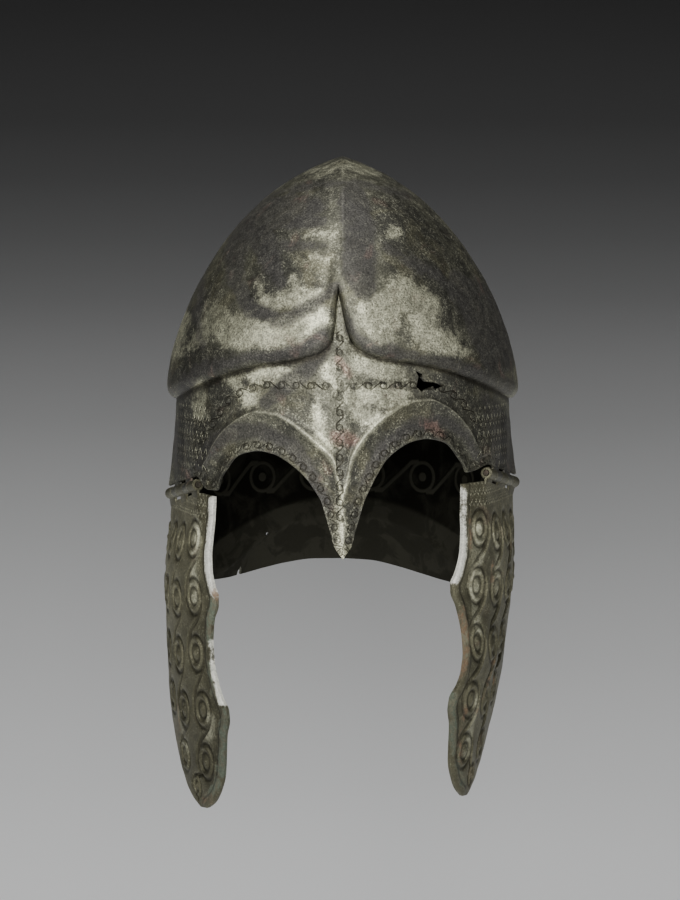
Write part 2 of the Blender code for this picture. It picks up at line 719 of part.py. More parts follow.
def cheek_point(side, back, down):
    """Point of the cheekpiece's middle surface at lengths behind its front corner and below the hinge."""
    turns, arc, half, depth = plan_table(side)
    turn = np.interp(back, arc, turns)
    front, axis, up, out, length = hinge_frame(side)
    slope = -axis[2] / math.hypot(axis[0], axis[1])
    reach = np.interp(turn, [HINGE_FRONT_TURN, HINGE_BACK_TURN], [0.0, 1.0])
    below = np.clip(down - slope * length * reach, 0.0, None)
    free = ease(below / (CHORD_FADE * CHEEK_LENGTH))
    chord = 1.0 - (1.0 - chord_scale(turn, half, depth)) * (1.0 - free)
    share = np.clip(down / CHEEK_LENGTH, 0.0, None)
    swell = CHEEK_BULGE * free - CHEEK_CURL * share**CURL_POWER
    twist = CHEEK_TWIST if side > 0 else 0.0
    ahead = 1.0 - ease(TWIST_WIDTH / 7 + back / (TWIST_WIDTH * CHEEK_WIDTH))
    open_out = twist * ease((share - TWIST_START) / TWIST_SPAN) * ahead
    angle = np.radians(turn)
    x = ((half - WALL / 2) * chord + swell) * np.sin(angle)
    y = -((depth - WALL / 2) * chord + swell) * np.cos(angle)
    return np.stack([side * (x + open_out), y, front[2] - down], axis=-1)


def cheek_normal(side, back, down):
    """Outward normal of the middle surface."""
    d = NORMAL_STEP
    across = cheek_point(side, back + d, down) - cheek_point(side, back - d, down)
    along = cheek_point(side, back, down + d) - cheek_point(side, back, down - d)
    normal = np.cross(across, along) * side
    normal = normal / np.linalg.norm(normal, axis=-1)[..., None]
    flip = np.sign(normal[..., 0] * side)
    return normal * flip[..., None]


def cheek_outline(side):
    """Outline of a cheekpiece as lengths back and down, and how many of its points are the front edge."""
    front = np.array([(b * CHEEK_WIDTH, d * CHEEK_LENGTH) for b, d in CHEEK_FRONT])
    rear = np.array([(b * CHEEK_WIDTH, d * CHEEK_LENGTH) for b, d in CHEEK_REAR])
    turns, arc, half, depth = plan_table(side)
    hinge, axis, up, out, length = hinge_frame(side)
    slope = -axis[2] / math.hypot(axis[0], axis[1])
    plan = length * math.hypot(axis[0], axis[1])
    gap = (KNUCKLE_RADIUS + HINGE_WINDOW) / up[2]
    top = []
    for share in np.linspace(1 + TOP_OVERRUN, -TOP_OVERRUN, TOP_POINTS):
        point = hinge + axis * length * share
        turn = math.degrees(math.atan2(abs(point[0]) / half, -point[1] / depth))
        top.append((float(np.interp(turn, turns, arc)), slope * plan * share + gap))
    outline = np.concatenate([front, rear, np.array(top)])
    return outline, len(front)


def inset(line, distance):
    """Line moved towards the plate from its front edge."""
    ahead = np.gradient(line, axis=0)
    ahead = ahead / np.linalg.norm(ahead, axis=1)[:, None]
    return line + distance * np.stack([ahead[:, 1], -ahead[:, 0]], axis=1)


def triangulate(points, ring, chains):
    """Delaunay triangles inside an outline, keeping the given chains of points as edges."""
    edges = [(ring[i], ring[(i + 1) % len(ring)]) for i in range(len(ring))]
    for chain in chains:
        edges += [(chain[i], chain[i + 1]) for i in range(len(chain) - 1)]
    made = delaunay_2d_cdt([Vector(p) for p in points / MM], edges, [list(ring)], 1, 1e-6)
    return [tuple(f) for f in made[2]]


def inside_outline(points, outline, margin):
    """Whether points lie in the outline and at least a margin from its edge."""
    nxt = np.roll(outline, -1, axis=0)
    inside = np.zeros(len(points), dtype=bool)
    nearest = np.full(len(points), 1e9)
    for a, b in zip(outline, nxt):
        crosses = (a[1] > points[:, 1]) != (b[1] > points[:, 1])
        span = b[1] - a[1] if abs(b[1] - a[1]) > 1e-12 else 1e-12
        at = a[0] + (points[:, 1] - a[1]) / span * (b[0] - a[0])
        inside ^= crosses & (points[:, 0] < at)
        along = np.clip(((points - a) @ (b - a)) / max((b - a) @ (b - a), 1e-12), 0, 1)
        nearest = np.minimum(nearest, np.linalg.norm(points - (a + along[:, None] * (b - a)), axis=1))
    return inside & (nearest > margin)


def cheek_faces(side):
    """Plan points, rises and triangles of the outer and inner faces of a cheekpiece."""
    outline, fronts = cheek_outline(side)
    edge = outline[1:fronts]
    crest = inset(edge, RIM_WIDTH)
    foot = inset(edge, RIM_WIDTH + RIM_FOOT)
    n, m = len(outline), len(edge)
    rings = []
    for back, down, size in CIRCLES:
        centre = np.array([back * CHEEK_WIDTH, down * CHEEK_LENGTH])
        radius = CIRCLE_RADIUS * size
        rings.append((centre[None], CIRCLE_RISE))
        for share, rise, sides in RING_PROFILE:
            spread = np.array(regular(sides, radius * share)) + centre
            rings.append((spread, CIRCLE_RISE * rise))
    outer = [outline, crest, foot]
    lift = [np.zeros(n), np.full(m, RIM_RISE), np.zeros(m)]
    lift[0][: fronts] = RIM_RISE
    guard = np.concatenate([foot, outline[fronts:]])
    for spread, rise in rings:
        keep = inside_outline(spread, guard, RING_MARGIN)
        outer.append(spread[keep])
        lift.append(np.full(int(keep.sum()), rise))
    chains = [list(range(n, n + m)), list(range(n + m, n + 2 * m))]
    outer = np.concatenate(outer)
    lift = np.concatenate(lift)
    outer_faces = triangulate(outer, list(range(n)), chains)
    step = CHEEK_WIDTH / CHEEK_CELLS
    grid = np.array([
        (b, d)
        for b in np.arange(0.0, CHEEK_WIDTH, step)
        for d in np.arange(step, CHEEK_LENGTH, step)
    ])
    grid = grid[inside_outline(grid, guard, CELL_MARGIN * step)]
    inner = np.concatenate([outline, crest, foot, grid])
    inner_lift = np.concatenate([lift[: n + 2 * m], np.zeros(len(grid))])
    inner_faces = triangulate(inner, list(range(n)), chains)
    return outer, lift, outer_faces, inner, inner_lift, inner_faces, n


def build_cheekpiece(name, side, material, swing):
    """Cheekpiece with its three knuckles, its origin on the middle of the hinge axis."""
    outer, lift, outer_faces, inner, inner_lift, inner_faces, n = cheek_faces(side)
    half = CHEEK_WALL / 2
    top = cheek_point(side, outer[:, 0], outer[:, 1])
    top = top + cheek_normal(side, outer[:, 0], outer[:, 1]) * (half + lift)[:, None]
    low = cheek_point(side, inner[:, 0], inner[:, 1])
    low = low - cheek_normal(side, inner[:, 0], inner[:, 1]) * (half + inner_lift)[:, None]
    count = len(top)
    faces = list(outer_faces) + [tuple(reversed([i + count for i in f])) for f in inner_faces]
    for i in range(n):
        j = (i + 1) % n
        faces.append((i, i + count, j + count, j))
    front, axis, up, out, length = hinge_frame(side)
    middle = front + axis * length / 2
    plate = new_object(name, np.concatenate([top, low]), faces, material, middle)
    reach = -(KNUCKLE_RADIUS + HINGE_WINDOW + STRAP_BITE)
    combine(plate, [new_object("tool", *knuckle(side, index, reach)) for index in (0, 2, 4)], "UNION")
    back, down = SLIT_BACK * CHEEK_WIDTH, SLIT_DOWN * CHEEK_LENGTH
    centre = cheek_point(side, np.array(back), np.array(down))
    facing = cheek_normal(side, np.array(back), np.array(down))
    along = np.cross(facing, [0.0, 0.0, 1.0])
    along = along / np.linalg.norm(along)
    slit = [(a * SLIT_WIDTH, u * SLIT_LENGTH) for a, u in SLIT]
    cut = prism(slit, centre, along, np.cross(along, facing), facing, CUT_DEPTH / 2)
    combine(plate, [new_object("tool", *cut)], "DIFFERENCE")
    clean(plate)
    turn = Matrix.Rotation(math.radians(swing) * side, 4, Vector(axis))
    plate.rotation_euler = turn.to_euler()
    return plate


def build_pin(name, side, material):
    """Straight pin through the five knuckles of one hinge."""
    front, axis, up, out, length = hinge_frame(side)
    middle = front + axis * length / 2
    half = length / 2 + PIN_OVERHANG
    vertices, faces = prism(regular(PIN_SIDES, PIN_RADIUS), middle, up, out, axis, half)
    pin = new_object(name, vertices, faces, material, middle)
    clean(pin)
    return pin


def metal(name, colour, roughness, metallic):
    """Principled material."""
    material = bpy.data.materials.new(name)
    material.use_nodes = True
    shader = next(n for n in material.node_tree.nodes if n.type == "BSDF_PRINCIPLED")
    shader.inputs["Base Color"].default_value = (*colour, 1.0)
    shader.inputs["Roughness"].default_value = roughness
    shader.inputs["Metallic"].default_value = metallic
    material.diffuse_color = (*colour, 1.0)
    return material


def main():
    """Clear the scene and build every piece."""
    for ob in list(bpy.data.objects):
        bpy.data.objects.remove(ob, do_unlink=True)
    bowl = build_bowl(metal("bowl_bronze", (0.13, 0.125, 0.105), 0.46, 0.85))
    for name, side, swing in (("left", 1, SWING), ("right", -1, 0.0)):
        plate_metal = metal("cheekpiece_" + name + "_bronze", (0.15, 0.145, 0.12), 0.48, 0.85)
        plate = build_cheekpiece("cheekpiece_" + name, side, plate_metal, swing)
        pin = build_pin("hinge_pin_" + name, side, metal("pin_" + name + "_bronze", (0.16, 0.13, 0.10), 0.5, 0.8))
        plate.parent = bowl
        pin.parent = bowl


main()
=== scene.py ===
import math

import bmesh
import bpy
import numpy as np
from bpy.props import FloatProperty, FloatVectorProperty, PointerProperty
from mathutils import Matrix, Vector
from mathutils.geometry import delaunay_2d_cdt


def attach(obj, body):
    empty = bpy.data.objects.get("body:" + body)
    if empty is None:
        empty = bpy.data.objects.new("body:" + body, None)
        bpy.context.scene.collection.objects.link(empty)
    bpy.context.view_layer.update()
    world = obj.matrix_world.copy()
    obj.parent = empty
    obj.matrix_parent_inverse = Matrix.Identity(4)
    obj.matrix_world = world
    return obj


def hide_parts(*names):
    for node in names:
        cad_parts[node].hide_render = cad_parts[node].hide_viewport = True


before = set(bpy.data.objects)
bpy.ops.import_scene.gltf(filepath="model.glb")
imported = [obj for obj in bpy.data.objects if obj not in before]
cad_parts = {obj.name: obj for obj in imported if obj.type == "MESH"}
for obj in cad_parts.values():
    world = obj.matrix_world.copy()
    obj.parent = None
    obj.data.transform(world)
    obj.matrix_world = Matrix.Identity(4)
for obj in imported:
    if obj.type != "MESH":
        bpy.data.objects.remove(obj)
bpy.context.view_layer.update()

bl_info = {
    "name": "Chalcidian Helmet",
    "version": (1, 0, 0),
    "blender": (4, 5, 0),
    "location": "View3D > Sidebar > Helmet",
    "description": "Dresses a bronze chalcidian helmet with its relief, engraving, patina and studio",
    "category": "Object",
}

MM = 0.001

# Bowl
BOWL_WIDTH = 189.0 * MM
FRONT_DEPTH = 109.4 * MM
BACK_DEPTH = 112.0 * MM
CROWN_HEIGHT = 119.5 * MM
WALL = 1.8 * MM
BELT_STEP = 5.2 * MM
BELT_ROLL = 6.5 * MM
PEAK_RISE = 54.0 * MM
PEAK_LEAN = 1.7
NASAL_DROP = 82.0 * MM
NASAL_FORWARD = 6.5 * MM
TEMPLE_FLARE = 4.6 * MM
NAPE_DROP = 77.5 * MM
NAPE_HOLLOW = 3.9 * MM
GUARD_DROP = 114.5 * MM
GUARD_FLARE = 17.0 * MM
SIDE_SINK = 6.2 * MM
KEEL_HEIGHT = 4.7 * MM
KEEL_HALF = 14.0 * MM
BROW_RIDGE_HALF = 3.0 * MM
BROW_CREST_HALF = 1.0 * MM
BROW_HOLLOW = 1.4 * MM
NASAL_RIDGE = 2.4 * MM
NASAL_RIDGE_HALF = 5.0 * MM
CROWN_PLAN_POWER = 1.8
CROWN_RISE_POWER = 1.58
CROWN_LONG_POWER = 2.1
CROWN_LONG_RISE = 1.9
TEMPLE_REACH = 0.65
TEMPLE_POWER = 1.5
NASAL_POWER = 1.3
LEAN_START = 0.4
HINGE_FOLD_SHARE = 0.6
CROWN_TURN_RATE = 1.3
BROW_FADE = 2.5
BROW_OUTER = 0.9
BROW_INNER = 4.6
BROW_INNER_END = 12.0
HOLLOW_START = 4.0
NOSE_START = 0.4
NOSE_TOP = 0.35
RIDGE_CROSSING = 0.6
KEEL_FADE = 0.25

# Hinges
HINGE_FRONT_TURN = 55.0
HINGE_BACK_TURN = 90.0
HINGE_FRONT_DROP = 41.7 * MM
HINGE_BACK_DROP = 51.3 * MM
KNUCKLE_RADIUS = 3.1 * MM
KNUCKLE_COUNT = 5
KNUCKLE_BEVEL = 0.35 * MM
HINGE_WINDOW = 1.5 * MM
PIN_RADIUS = 1.45 * MM
CLEARANCE = 0.3 * MM
STRAP_THICKNESS = 1.5 * MM
STRAP_BITE = 2.4 * MM
STRAP_END = 0.35
KNUCKLE_SIDES = 36

# Cheekpieces
CHEEK_LENGTH = 171.0 * MM
CHEEK_WIDTH = 98.0 * MM
CHEEK_WALL = 1.8 * MM
CHEEK_FRONT_LEFT = 42.5
CHEEK_FRONT_RIGHT = 46.0
CHEEK_TWIST = 9.5 * MM
TWIST_START = 0.3
TWIST_SPAN = 0.35
TWIST_WIDTH = 0.7
CHEEK_BULGE = 4.0 * MM
CHEEK_CURL = 8.0 * MM
CURL_POWER = 2.6
CHORD_FADE = 0.3
PLAN_TURN = 60.0
RIM_WIDTH = 4.3 * MM
RIM_FOOT = 1.2 * MM
CIRCLE_RADIUS = 10.0 * MM
GROOVE_SHARE = 0.98
CIRCLE_SQUASH = 0.80
LINE_HALF = 1.0 * MM
LINE_DEPTH = 0.95
LINE_RIDGE = 0.40
SWING = 4.5
SLIT_LENGTH = 5.0 * MM
SLIT_WIDTH = 1.3 * MM
SLIT_BACK = 0.245
SLIT_DOWN = 0.972
TOP_OVERRUN = 0.04

# Damage
BREAK_TURN = 30.1
BREAK_DROP = -8.0 * MM
BREAK_WIDTH = 16.5 * MM
TEAR_TURN = -143.0
TEAR_WIDTH = 3.4 * MM
TEAR_DEPTH = 4.0 * MM
PINHOLE_TURN = -152.5
PINHOLE_WIDTH = 1.9 * MM
CUT_DEPTH = 10.8 * MM
GUARD_ROW = 6

# Mesh: stations from one column of the bowl's grid to the next, and rows in each of its four spans
COLUMN_STEP = 0.2
SPAN_ROWS = (24, 28, 8, 47)
BELT_LEVEL = WALL - CROWN_HEIGHT
NORMAL_STEP = 0.2 * MM
HAMMER_SEED = 11
FAR = 1.0

# Edge, fold and belt of the bowl from the nasal tip round to the hinge. Turns are degrees from the front, drops
# are shares of NASAL_DROP below the belt, rises shares of PEAK_RISE above it, and roll_up a share of BELT_ROLL.
# edge_turn, edge_drop, fold_turn, fold_drop, belt_turn, belt_rise, roll_turn, roll_up, sink
FACE = [
    (0.0, 1.000, 0.0, 0.610, 0.00, 1.000, 0.0, 0.80, 0.00),
    (2.6, 0.925, 0.7, 0.573, 0.35, 0.963, 0.9, 0.80, 0.00),
    (3.8, 0.838, 1.2, 0.530, 0.70, 0.917, 1.6, 0.68, 0.00),
    (5.2, 0.744, 1.7, 0.485, 1.10, 0.833, 2.2, 0.50, 0.00),
    (6.8, 0.640, 2.3, 0.415, 1.60, 0.735, 2.6, 0.45, 0.00),
    (8.9, 0.554, 3.2, 0.360, 2.40, 0.630, 2.8, 0.52, 0.25),
    (11.3, 0.468, 5.0, 0.299, 3.50, 0.537, 2.8, 0.75, 0.55),
    (14.4, 0.383, 8.0, 0.222, 5.60, 0.454, 2.2, 0.92, 0.90),
    (18.8, 0.316, 12.4, 0.144, 9.20, 0.404, 1.0, 1.00, 1.00),
    (23.4, 0.276, 17.6, 0.076, 14.20, 0.361, 0.0, 1.00, 1.00),
    (28.5, 0.262, 23.5, 0.029, 20.40, 0.330, 0.0, 1.00, 1.00),
    (33.5, 0.277, 29.5, 0.022, 27.00, 0.300, 0.0, 1.00, 1.00),
    (37.7, 0.311, 35.8, 0.066, 34.00, 0.256, 0.0, 1.00, 1.00),
    (40.8, 0.377, 42.0, 0.145, 41.00, 0.204, 0.0, 1.00, 1.00),
    (43.4, 0.439, 47.2, 0.252, 47.50, 0.154, 0.0, 1.00, 1.10),
    (44.8, 0.488, 50.6, 0.360, 52.80, 0.107, 0.0, 1.00, 1.50),
    (49.5, 0.478, 53.0, 0.393, 57.00, 0.074, 0.0, 1.00, 1.65),
]

# Fold and belt above the hinge, a row for each fifth of the hinge line, on which the edge lies.
# hinge_share, fold_turn, fold_drop, belt_turn, belt_rise, sink
HINGE_SIDE = [
    (0.0, 57.5, 0.366, 61.0, 0.043, 1.0),
    (0.2, 63.8, 0.378, 66.3, 0.000, 1.0),
    (0.4, 70.3, 0.396, 71.5, -0.037, 1.0),
    (0.6, 77.0, 0.415, 77.0, -0.069, 1.0),
    (0.8, 83.7, 0.427, 82.5, -0.093, 1.0),
    (1.0, 90.5, 0.439, 88.5, -0.106, 1.0),
]

# Ear notch and neck guard to the middle of the back. Edge drops are shares of GUARD_DROP, fold drops shares of
# NAPE_DROP, flares shares of GUARD_FLARE.
# edge_turn, edge_drop, flare, fold_turn, fold_drop, belt_turn, sink
NAPE = [
    (94.5, 0.405, 0.00, 96.0, 0.458, 94.0, 1.00),
    (99.5, 0.407, 0.00, 101.5, 0.465, 99.5, 0.90),
    (104.5, 0.435, 0.00, 107.0, 0.490, 105.0, 0.70),
    (108.5, 0.510, 0.00, 112.5, 0.568, 110.0, 0.40),
    (111.2, 0.620, 0.00, 117.5, 0.697, 114.5, 0.20),
    (113.5, 0.742, 0.00, 122.0, 0.877, 119.0, 0.00),
    (116.0, 0.865, 0.00, 127.0, 1.084, 124.0, -0.20),
    (119.0, 0.965, 0.00, 131.0, 1.265, 129.0, -0.50),
    (126.0, 0.995, 0.06, 135.2, 1.350, 135.0, -0.60),
    (134.5, 1.000, 0.18, 139.8, 1.305, 142.0, -0.60),
    (144.0, 0.991, 0.42, 146.5, 1.205, 149.0, -0.60),
    (153.0, 0.970, 0.68, 154.5, 1.110, 157.0, -0.55),
    (162.0, 0.940, 0.88, 162.5, 1.048, 164.5, -0.40),
    (171.0, 0.912, 0.97, 171.2, 1.012, 172.0, -0.15),
    (180.0, 0.904, 1.00, 180.0, 1.000, 180.0, 0.00),
]

# Front edge of a cheekpiece from its top corner to the tip, and its rear edge back up to the hinge.
# back: share of CHEEK_WIDTH; down: share of CHEEK_LENGTH
CHEEK_FRONT = [
    (0.000, 0.030),
    (0.000, 0.110),
    (0.003, 0.170),
    (0.000, 0.222),
    (-0.012, 0.262),
    (-0.034, 0.302),
    (-0.058, 0.330),
    (-0.057, 0.360),
    (-0.028, 0.400),
    (-0.012, 0.440),
    (-0.006, 0.490),
    (-0.012, 0.540),
    (-0.034, 0.590),
    (-0.068, 0.638),
    (-0.108, 0.676),
    (-0.112, 0.712),
    (-0.086, 0.762),
    (-0.073, 0.822),
    (-0.056, 0.880),
    (-0.010, 0.934),
    (0.055, 0.974),
    (0.130, 0.997),
]
CHEEK_REAR = [
    (0.215, 1.000),
    (0.310, 0.976),
    (0.395, 0.938),
    (0.480, 0.885),
    (0.555, 0.830),
    (0.640, 0.760),
    (0.720, 0.690),
    (0.800, 0.618),
    (0.880, 0.535),
    (0.950, 0.440),
    (0.990, 0.345),
    (1.000, 0.250),
    (0.985, 0.170),
    (0.950, 0.112),
]

# Embossed circles of a cheekpiece, row by row: back, share of CHEEK_WIDTH; down, share of CHEEK_LENGTH; size, share
# of CIRCLE_RADIUS
CIRCLE_ROWS = [
    [(0.160, 0.165, 1.00), (0.380, 0.185, 1.00), (0.600, 0.190, 1.00), (0.825, 0.195, 1.00)],
    [(0.150, 0.340, 1.00), (0.375, 0.358, 1.00), (0.600, 0.358, 1.00), (0.825, 0.352, 1.00)],
    [(0.155, 0.515, 1.00), (0.380, 0.533, 1.00), (0.605, 0.528, 1.00)],
    [(0.110, 0.688, 1.00), (0.335, 0.702, 1.00), (0.555, 0.680, 0.95)],
    [(0.090, 0.850, 1.00), (0.360, 0.850, 0.92)],
    [(0.235, 0.935, 0.62)],
]

# Cross-section of an embossed circle: share of its radius, half-width in the same shares, share of the relief's rise
CIRCLE_PROFILE = [(0.98, 0.12, -0.60), (0.72, 0.10, 0.45), (0.47, 0.10, -0.48), (0.0, 0.18, 0.75)]

# Rings of mesh points in a circle, as shares of its radius, and the spacing of the points between the circles
CIRCLE_RINGS = (0.08, 0.16, 0.24, 0.32, 0.39, 0.46, 0.53, 0.61, 0.69, 0.76, 0.84, 0.91, 0.97, 1.03, 1.09, 1.16)
PLATE_STEP = 1.7 * MM
PLATE_SEED = 5

# How far each row of circles lies behind its place in the table, in mm, on the left and on the right cheekpiece
ROW_SHIFTS = {1: (0.0, 0.0, -3.0, -4.0, -1.5, 0.0), -1: (2.5, 0.5, -0.5, 0.0, 2.0, 0.0)}

# Outlines of the break in the brow, the tear in the neck guard and the slit by the cheekpiece's tip: across, up,
# as shares of BREAK_WIDTH, of TEAR_WIDTH and TEAR_DEPTH, and of SLIT_WIDTH and SLIT_LENGTH
BREAK = [
    (-0.44, 0.33),
    (-0.24, 0.21),
    (-0.29, 0.12),
    (-0.15, -0.03),
    (0.22, -0.06),
    (0.38, -0.11),
    (0.53, -0.19),
    (0.27, -0.27),
    (0.23, -0.33),
    (0.14, -0.18),
    (-0.19, -0.29),
    (-0.30, -0.34),
    (-0.48, -0.18),
    (-0.42, 0.03),
    (-0.39, 0.14),
    (-0.47, 0.28),
]
TEAR = [(-0.500, -1.00), (0.500, -1.00), (0.450, 0.35), (0.075, 1.00), (-0.250, 0.75), (-0.500, 0.20)]
SLIT = [(-0.5, -0.4), (0.3, -0.5), (0.5, 0.4), (-0.2, 0.5)]

# Stains on the bowl, and dark strokes of painted shade where marked, seen from the front, in mm: x, z, radius. Each
# list is one brush stroke.
DARK_STROKES = [
    [(-50, -24, 7), (-57, -44, 6), (-56, -60, 4.5), (-47, -74, 4), (-32, -78, 3.5), (-18, -73, 3), (-3, -61, 2.5)],
    [(-49, -27, 8), (-32, -20, 7), (-14, -20, 5)],
    [(-42, -36, 8), (-38, -47, 6), (-33, -58, 4)],
    [(-44, -30, 4), (-25, -28, 4), (-10, -28, 2)],
    [(-30, -41, 3), (-10, -41, 2)],
    [(5, -14, 7), (8, -34, 9), (8, -52, 9), (12, -62, 6)],
    [(59, -58, 4), (69, -69, 11), (77, -84, 12), (83, -97, 12)],
    # Painted shade: a dark arc where the crown's slope changes
    [(-40, -15, 1.5), (-24, -11, 1.6), (-10, -9, 1.8), (7, -8, 2), (22, -11.5, 1.6), (35, -15, 1.4)],
    [(22, -41, 2), (35, -49, 3), (50, -56, 3), (57, -66, 3)],
    [(-74, -58, 1.5), (-77, -76, 3), (-74, -93, 2)],
    [(-8, -92, 3), (-19, -104, 3.5), (-30, -113, 4), (-40, -121, 3)],
    [(-45, -97.5, 1.6), (-43, -98.5, 1.6)],
    [(24, -92, 2.5), (33, -97, 2)],
    # Painted shade: a dark band under the belt's roll, on the left
    [(-84, -116, 4), (-75, -105, 3.5), (-59, -101, 3.5), (-46, -97, 3.5)],
    [(-46, -97, 3.5), (-37, -98, 3), (-20, -93, 3.5), (-10, -85, 3)],
    [(-76, -156, 3), (-70, -146, 4), (-58, -137, 5), (-43, -135, 5)],
    [(-43, -135, 5), (-28, -141, 4.5), (-17, -153, 3.5), (-9, -170, 2)],
    [(5, -172, 0), (12, -156, 1.5), (22, -141, 2.5), (38, -132, 3.5), (53, -131, 3.5), (64, -139, 3), (70, -150, 2)],
    # Painted shade over the temples
    [(76, -122, 4), (84, -138, 8), (88, -156, 8)],
    [(-90, -138, 3), (-86, -155, 5)],
    # Painted shade: a dark band under the belt's roll, on the right
    [(1, -68, 1), (4, -83, 1.5), (13, -92, 3), (26, -96, 3), (39, -98, 3)],
    [(39, -98, 3), (51, -101, 3), (64, -104, 4), (86, -115, 5)],
]
LIGHT_STROKES = [
    [(-78, -92, 3), (-67, -76, 5), (-58, -84, 9), (-41, -86, 7), (-24, -83, 7), (-12, -76, 5)],
    [(-43, -62, 1.5), (-41, -67, 2.5), (-35, -70, 2.5), (-24, -67, 4), (-12, -63, 2)],
    [(-24, -67, 3), (-25, -58, 1)],
    [(-19, -35, 0.4), (-4, -34, 0.8)],
    [(-18, -47, 0.8), (-7, -48, 1)],
    [(10, -73, 4), (20, -70, 7), (31, -65, 8), (41, -73, 9), (42, -86, 7), (55, -90, 5), (63, -95, 2)],
    [(12, -74, 5), (21, -83, 7)],
    [(26, -34, 2.2), (28, -34, 2.2)],
    [(-50, -108, 2.5), (-32, -105, 3.5)],
    [(7, -101, 4), (27, -106, 4.5)],
    [(-7, -104, 3), (-3, -112, 2)],
    [(-84, -80, 3), (-88, -98, 3)],
    [(-75, -113, 3), (-75, -129, 3.5)],
    [(-58, -110, 3), (-48, -119, 4)],
    [(-41, -105, 3.5), (-26, -108, 4)],
    [(-13, -117, 1), (-13, -130, 3), (-9, -142, 3)],
    [(4, -117, 3.5), (15, -117, 5.5), (29, -118, 4)],
    [(8, -126, 4), (16, -128, 4)],
    [(-1, -172, 1.5), (-1, -197, 2)],
    [(-18, -3, 0.8), (0, 1, 1.6), (18, -3, 0.8)],
]
RED_STROKES = [
    [(-4, -137, 3), (4, -140, 3.5)],
    [(-2, -98, 2), (3, -105, 2)],
    [(44, -132, 3), (52, -138, 2.5)],
    [(-83, -160, 2), (-80, -166, 2)],
]

# Line of the engraved chain across the forehead and down the temples, from the front, in mm: x, z
FOREHEAD_CHAIN = [
    (-74, -143),
    (-67, -132),
    (-59.6, -120.5),
    (-50.8, -114.8),
    (-40.4, -111.7),
    (-9.0, -111.7),
    (-1.5, -114.2),
    (6.5, -111.7),
    (40.4, -111.7),
    (52.0, -114.0),
    (61.0, -120.0),
    (69.0, -131.0),
]
CHAIN_TOP = 20.0 * MM
NOSE_CHAIN_SIDE = -1.5 * MM
NOSE_CHAIN_TOP = -84.0 * MM
NOSE_CHAIN_FOOT = -181.0 * MM

# Engraving along the brow edges and on the temples; the temples' turns are degrees from the front
FRONT_FROM = 20.0 * MM
RIM_CHAIN_INSET = 2.9 * MM
RIM_CHAIN_PITCH = 6.8 * MM
RIM_CHAIN_WORN = 74.0 * MM
TEMPLE_STRETCH = 1.65 * MM
TEMPLE_FROM = 46.0
TEMPLE_TO = 88.0
TICKS_TOP = 0.6 * MM
TICKS_FOOT = 17.5 * MM

# Stains and painted shade: how far back the front's fade out, and how the back's copy is stretched and moved
ZONE_FADE = 55.0 * MM
ZONE_LOSS = 22.0 * MM
BACK_STRETCH = 1.08
BACK_SHIFT = 6.0 * MM

# Rings pressed into the nape and the paler inside of the guard below them
RING_PITCH = 33.0 * MM
RING_SWEEP = 105.0 * MM
RING_RADIUS = 8.0 * MM
RING_LEVEL = -173.0 * MM
RING_FROM = 40.0 * MM
RING_FOOT = 183.0 * MM
RING_FOOT_BEND = 4.7

# Painted shade: the cheekpieces darken from one depth below the head seat to another, and the hinges and the wall
# above them are darker
SHADE_TOP = 170.0 * MM
SHADE_FOOT = 300.0 * MM
FOOT_TONE = 0.55
SHADOW_TONE = 0.6

# Floor and backdrop: level, radius of the bend, rear and half-width, in metres
SWEEP_FLOOR = -0.62
SWEEP_RADIUS = 0.9
SWEEP_REAR = 1.5
SWEEP_HALF = 2.6

# The backdrop pales from its top level to its foot: share of the way down, share of the floor's colour
BACKDROP_TOP = 0.171
BACKDROP_FOOT = -0.571
BACKDROP_RAMP = [
    (0.15, 0.018),
    (0.225, 0.038),
    (0.30, 0.070),
    (0.375, 0.114),
    (0.525, 0.250),
    (0.665, 0.425),
    (0.795, 0.607),
    (0.91, 0.805),
]

# Colour zones of each cheekpiece, in mm: back from its front corner, down from the hinge, radius. The bright zones on
# the front rim are painted highlights.
RIM_HIGHLIGHT_RIGHT = [
    [(0.8, 6, 3), (0.8, 20, 3.3), (0.5, 32, 4), (-1, 44, 4.5), (-4.5, 53, 4)],
    [(-2, 82, 2), (-5, 98, 4), (-9, 110, 3.5)],
]
GREEN_RIGHT = [
    [(-4, 59, 3), (1, 72, 3), (0, 82, 2)],
    [(-9, 117, 3), (-7, 132, 3), (-4, 148, 3)],
    [(1, 156, 3), (12, 164, 2)],
    [(3, 92, 1.5), (-2, 108, 2)],
]
BROWN_RIGHT = [[(-4, 54, 2.2), (-6, 57, 2.2)], [(44, 118, 0.5), (42, 132, 0.8)], [(8, 164, 1), (16, 168, 1)]]
LIGHT_RIGHT = [[(3, 122, 2), (6, 132, 3)], [(42, 124, 2.5), (34, 142, 2.5)], [(14, 20, 3), (14, 60, 3)]]
# Painted highlight along the left cheekpiece's front rim
RIM_HIGHLIGHT_LEFT = [[(1, 8, 1.4), (1, 26, 1.8), (-0.5, 42, 3), (-4, 53, 3)], [(-8, 98, 0.2), (-11, 104, 0.2)]]
GREEN_LEFT = [[(-9, 116, 3), (-7, 128, 3), (-4, 144, 3)], [(2, 152, 2), (12, 164, 2)]]
BROWN_LEFT = [
    [(6, 20, 1.2), (7, 36, 1.2)],
    [(1, 72, 3), (0, 90, 3), (-6, 104, 2)],
    [(2, 122, 1.2), (0, 140, 1.6), (6, 152, 1)],
    [(30, 44, 0.8), (30, 58, 0.6)],
    [(14, 126, 0.6), (40, 100, 1.2), (46, 112, 1.6)],
]
LIGHT_LEFT = [[(14, 30, 4), (12, 60, 4), (14, 82, 3)], [(34, 34, 2), (36, 60, 2)], [(12, 118, 3), (10, 146, 3)]]


def ease(x):
    """Smooth step: 3x^2 - 2x^3 between 0 and 1."""
    x = np.clip(x, 0.0, 1.0)
    return x * x * (3.0 - 2.0 * x)


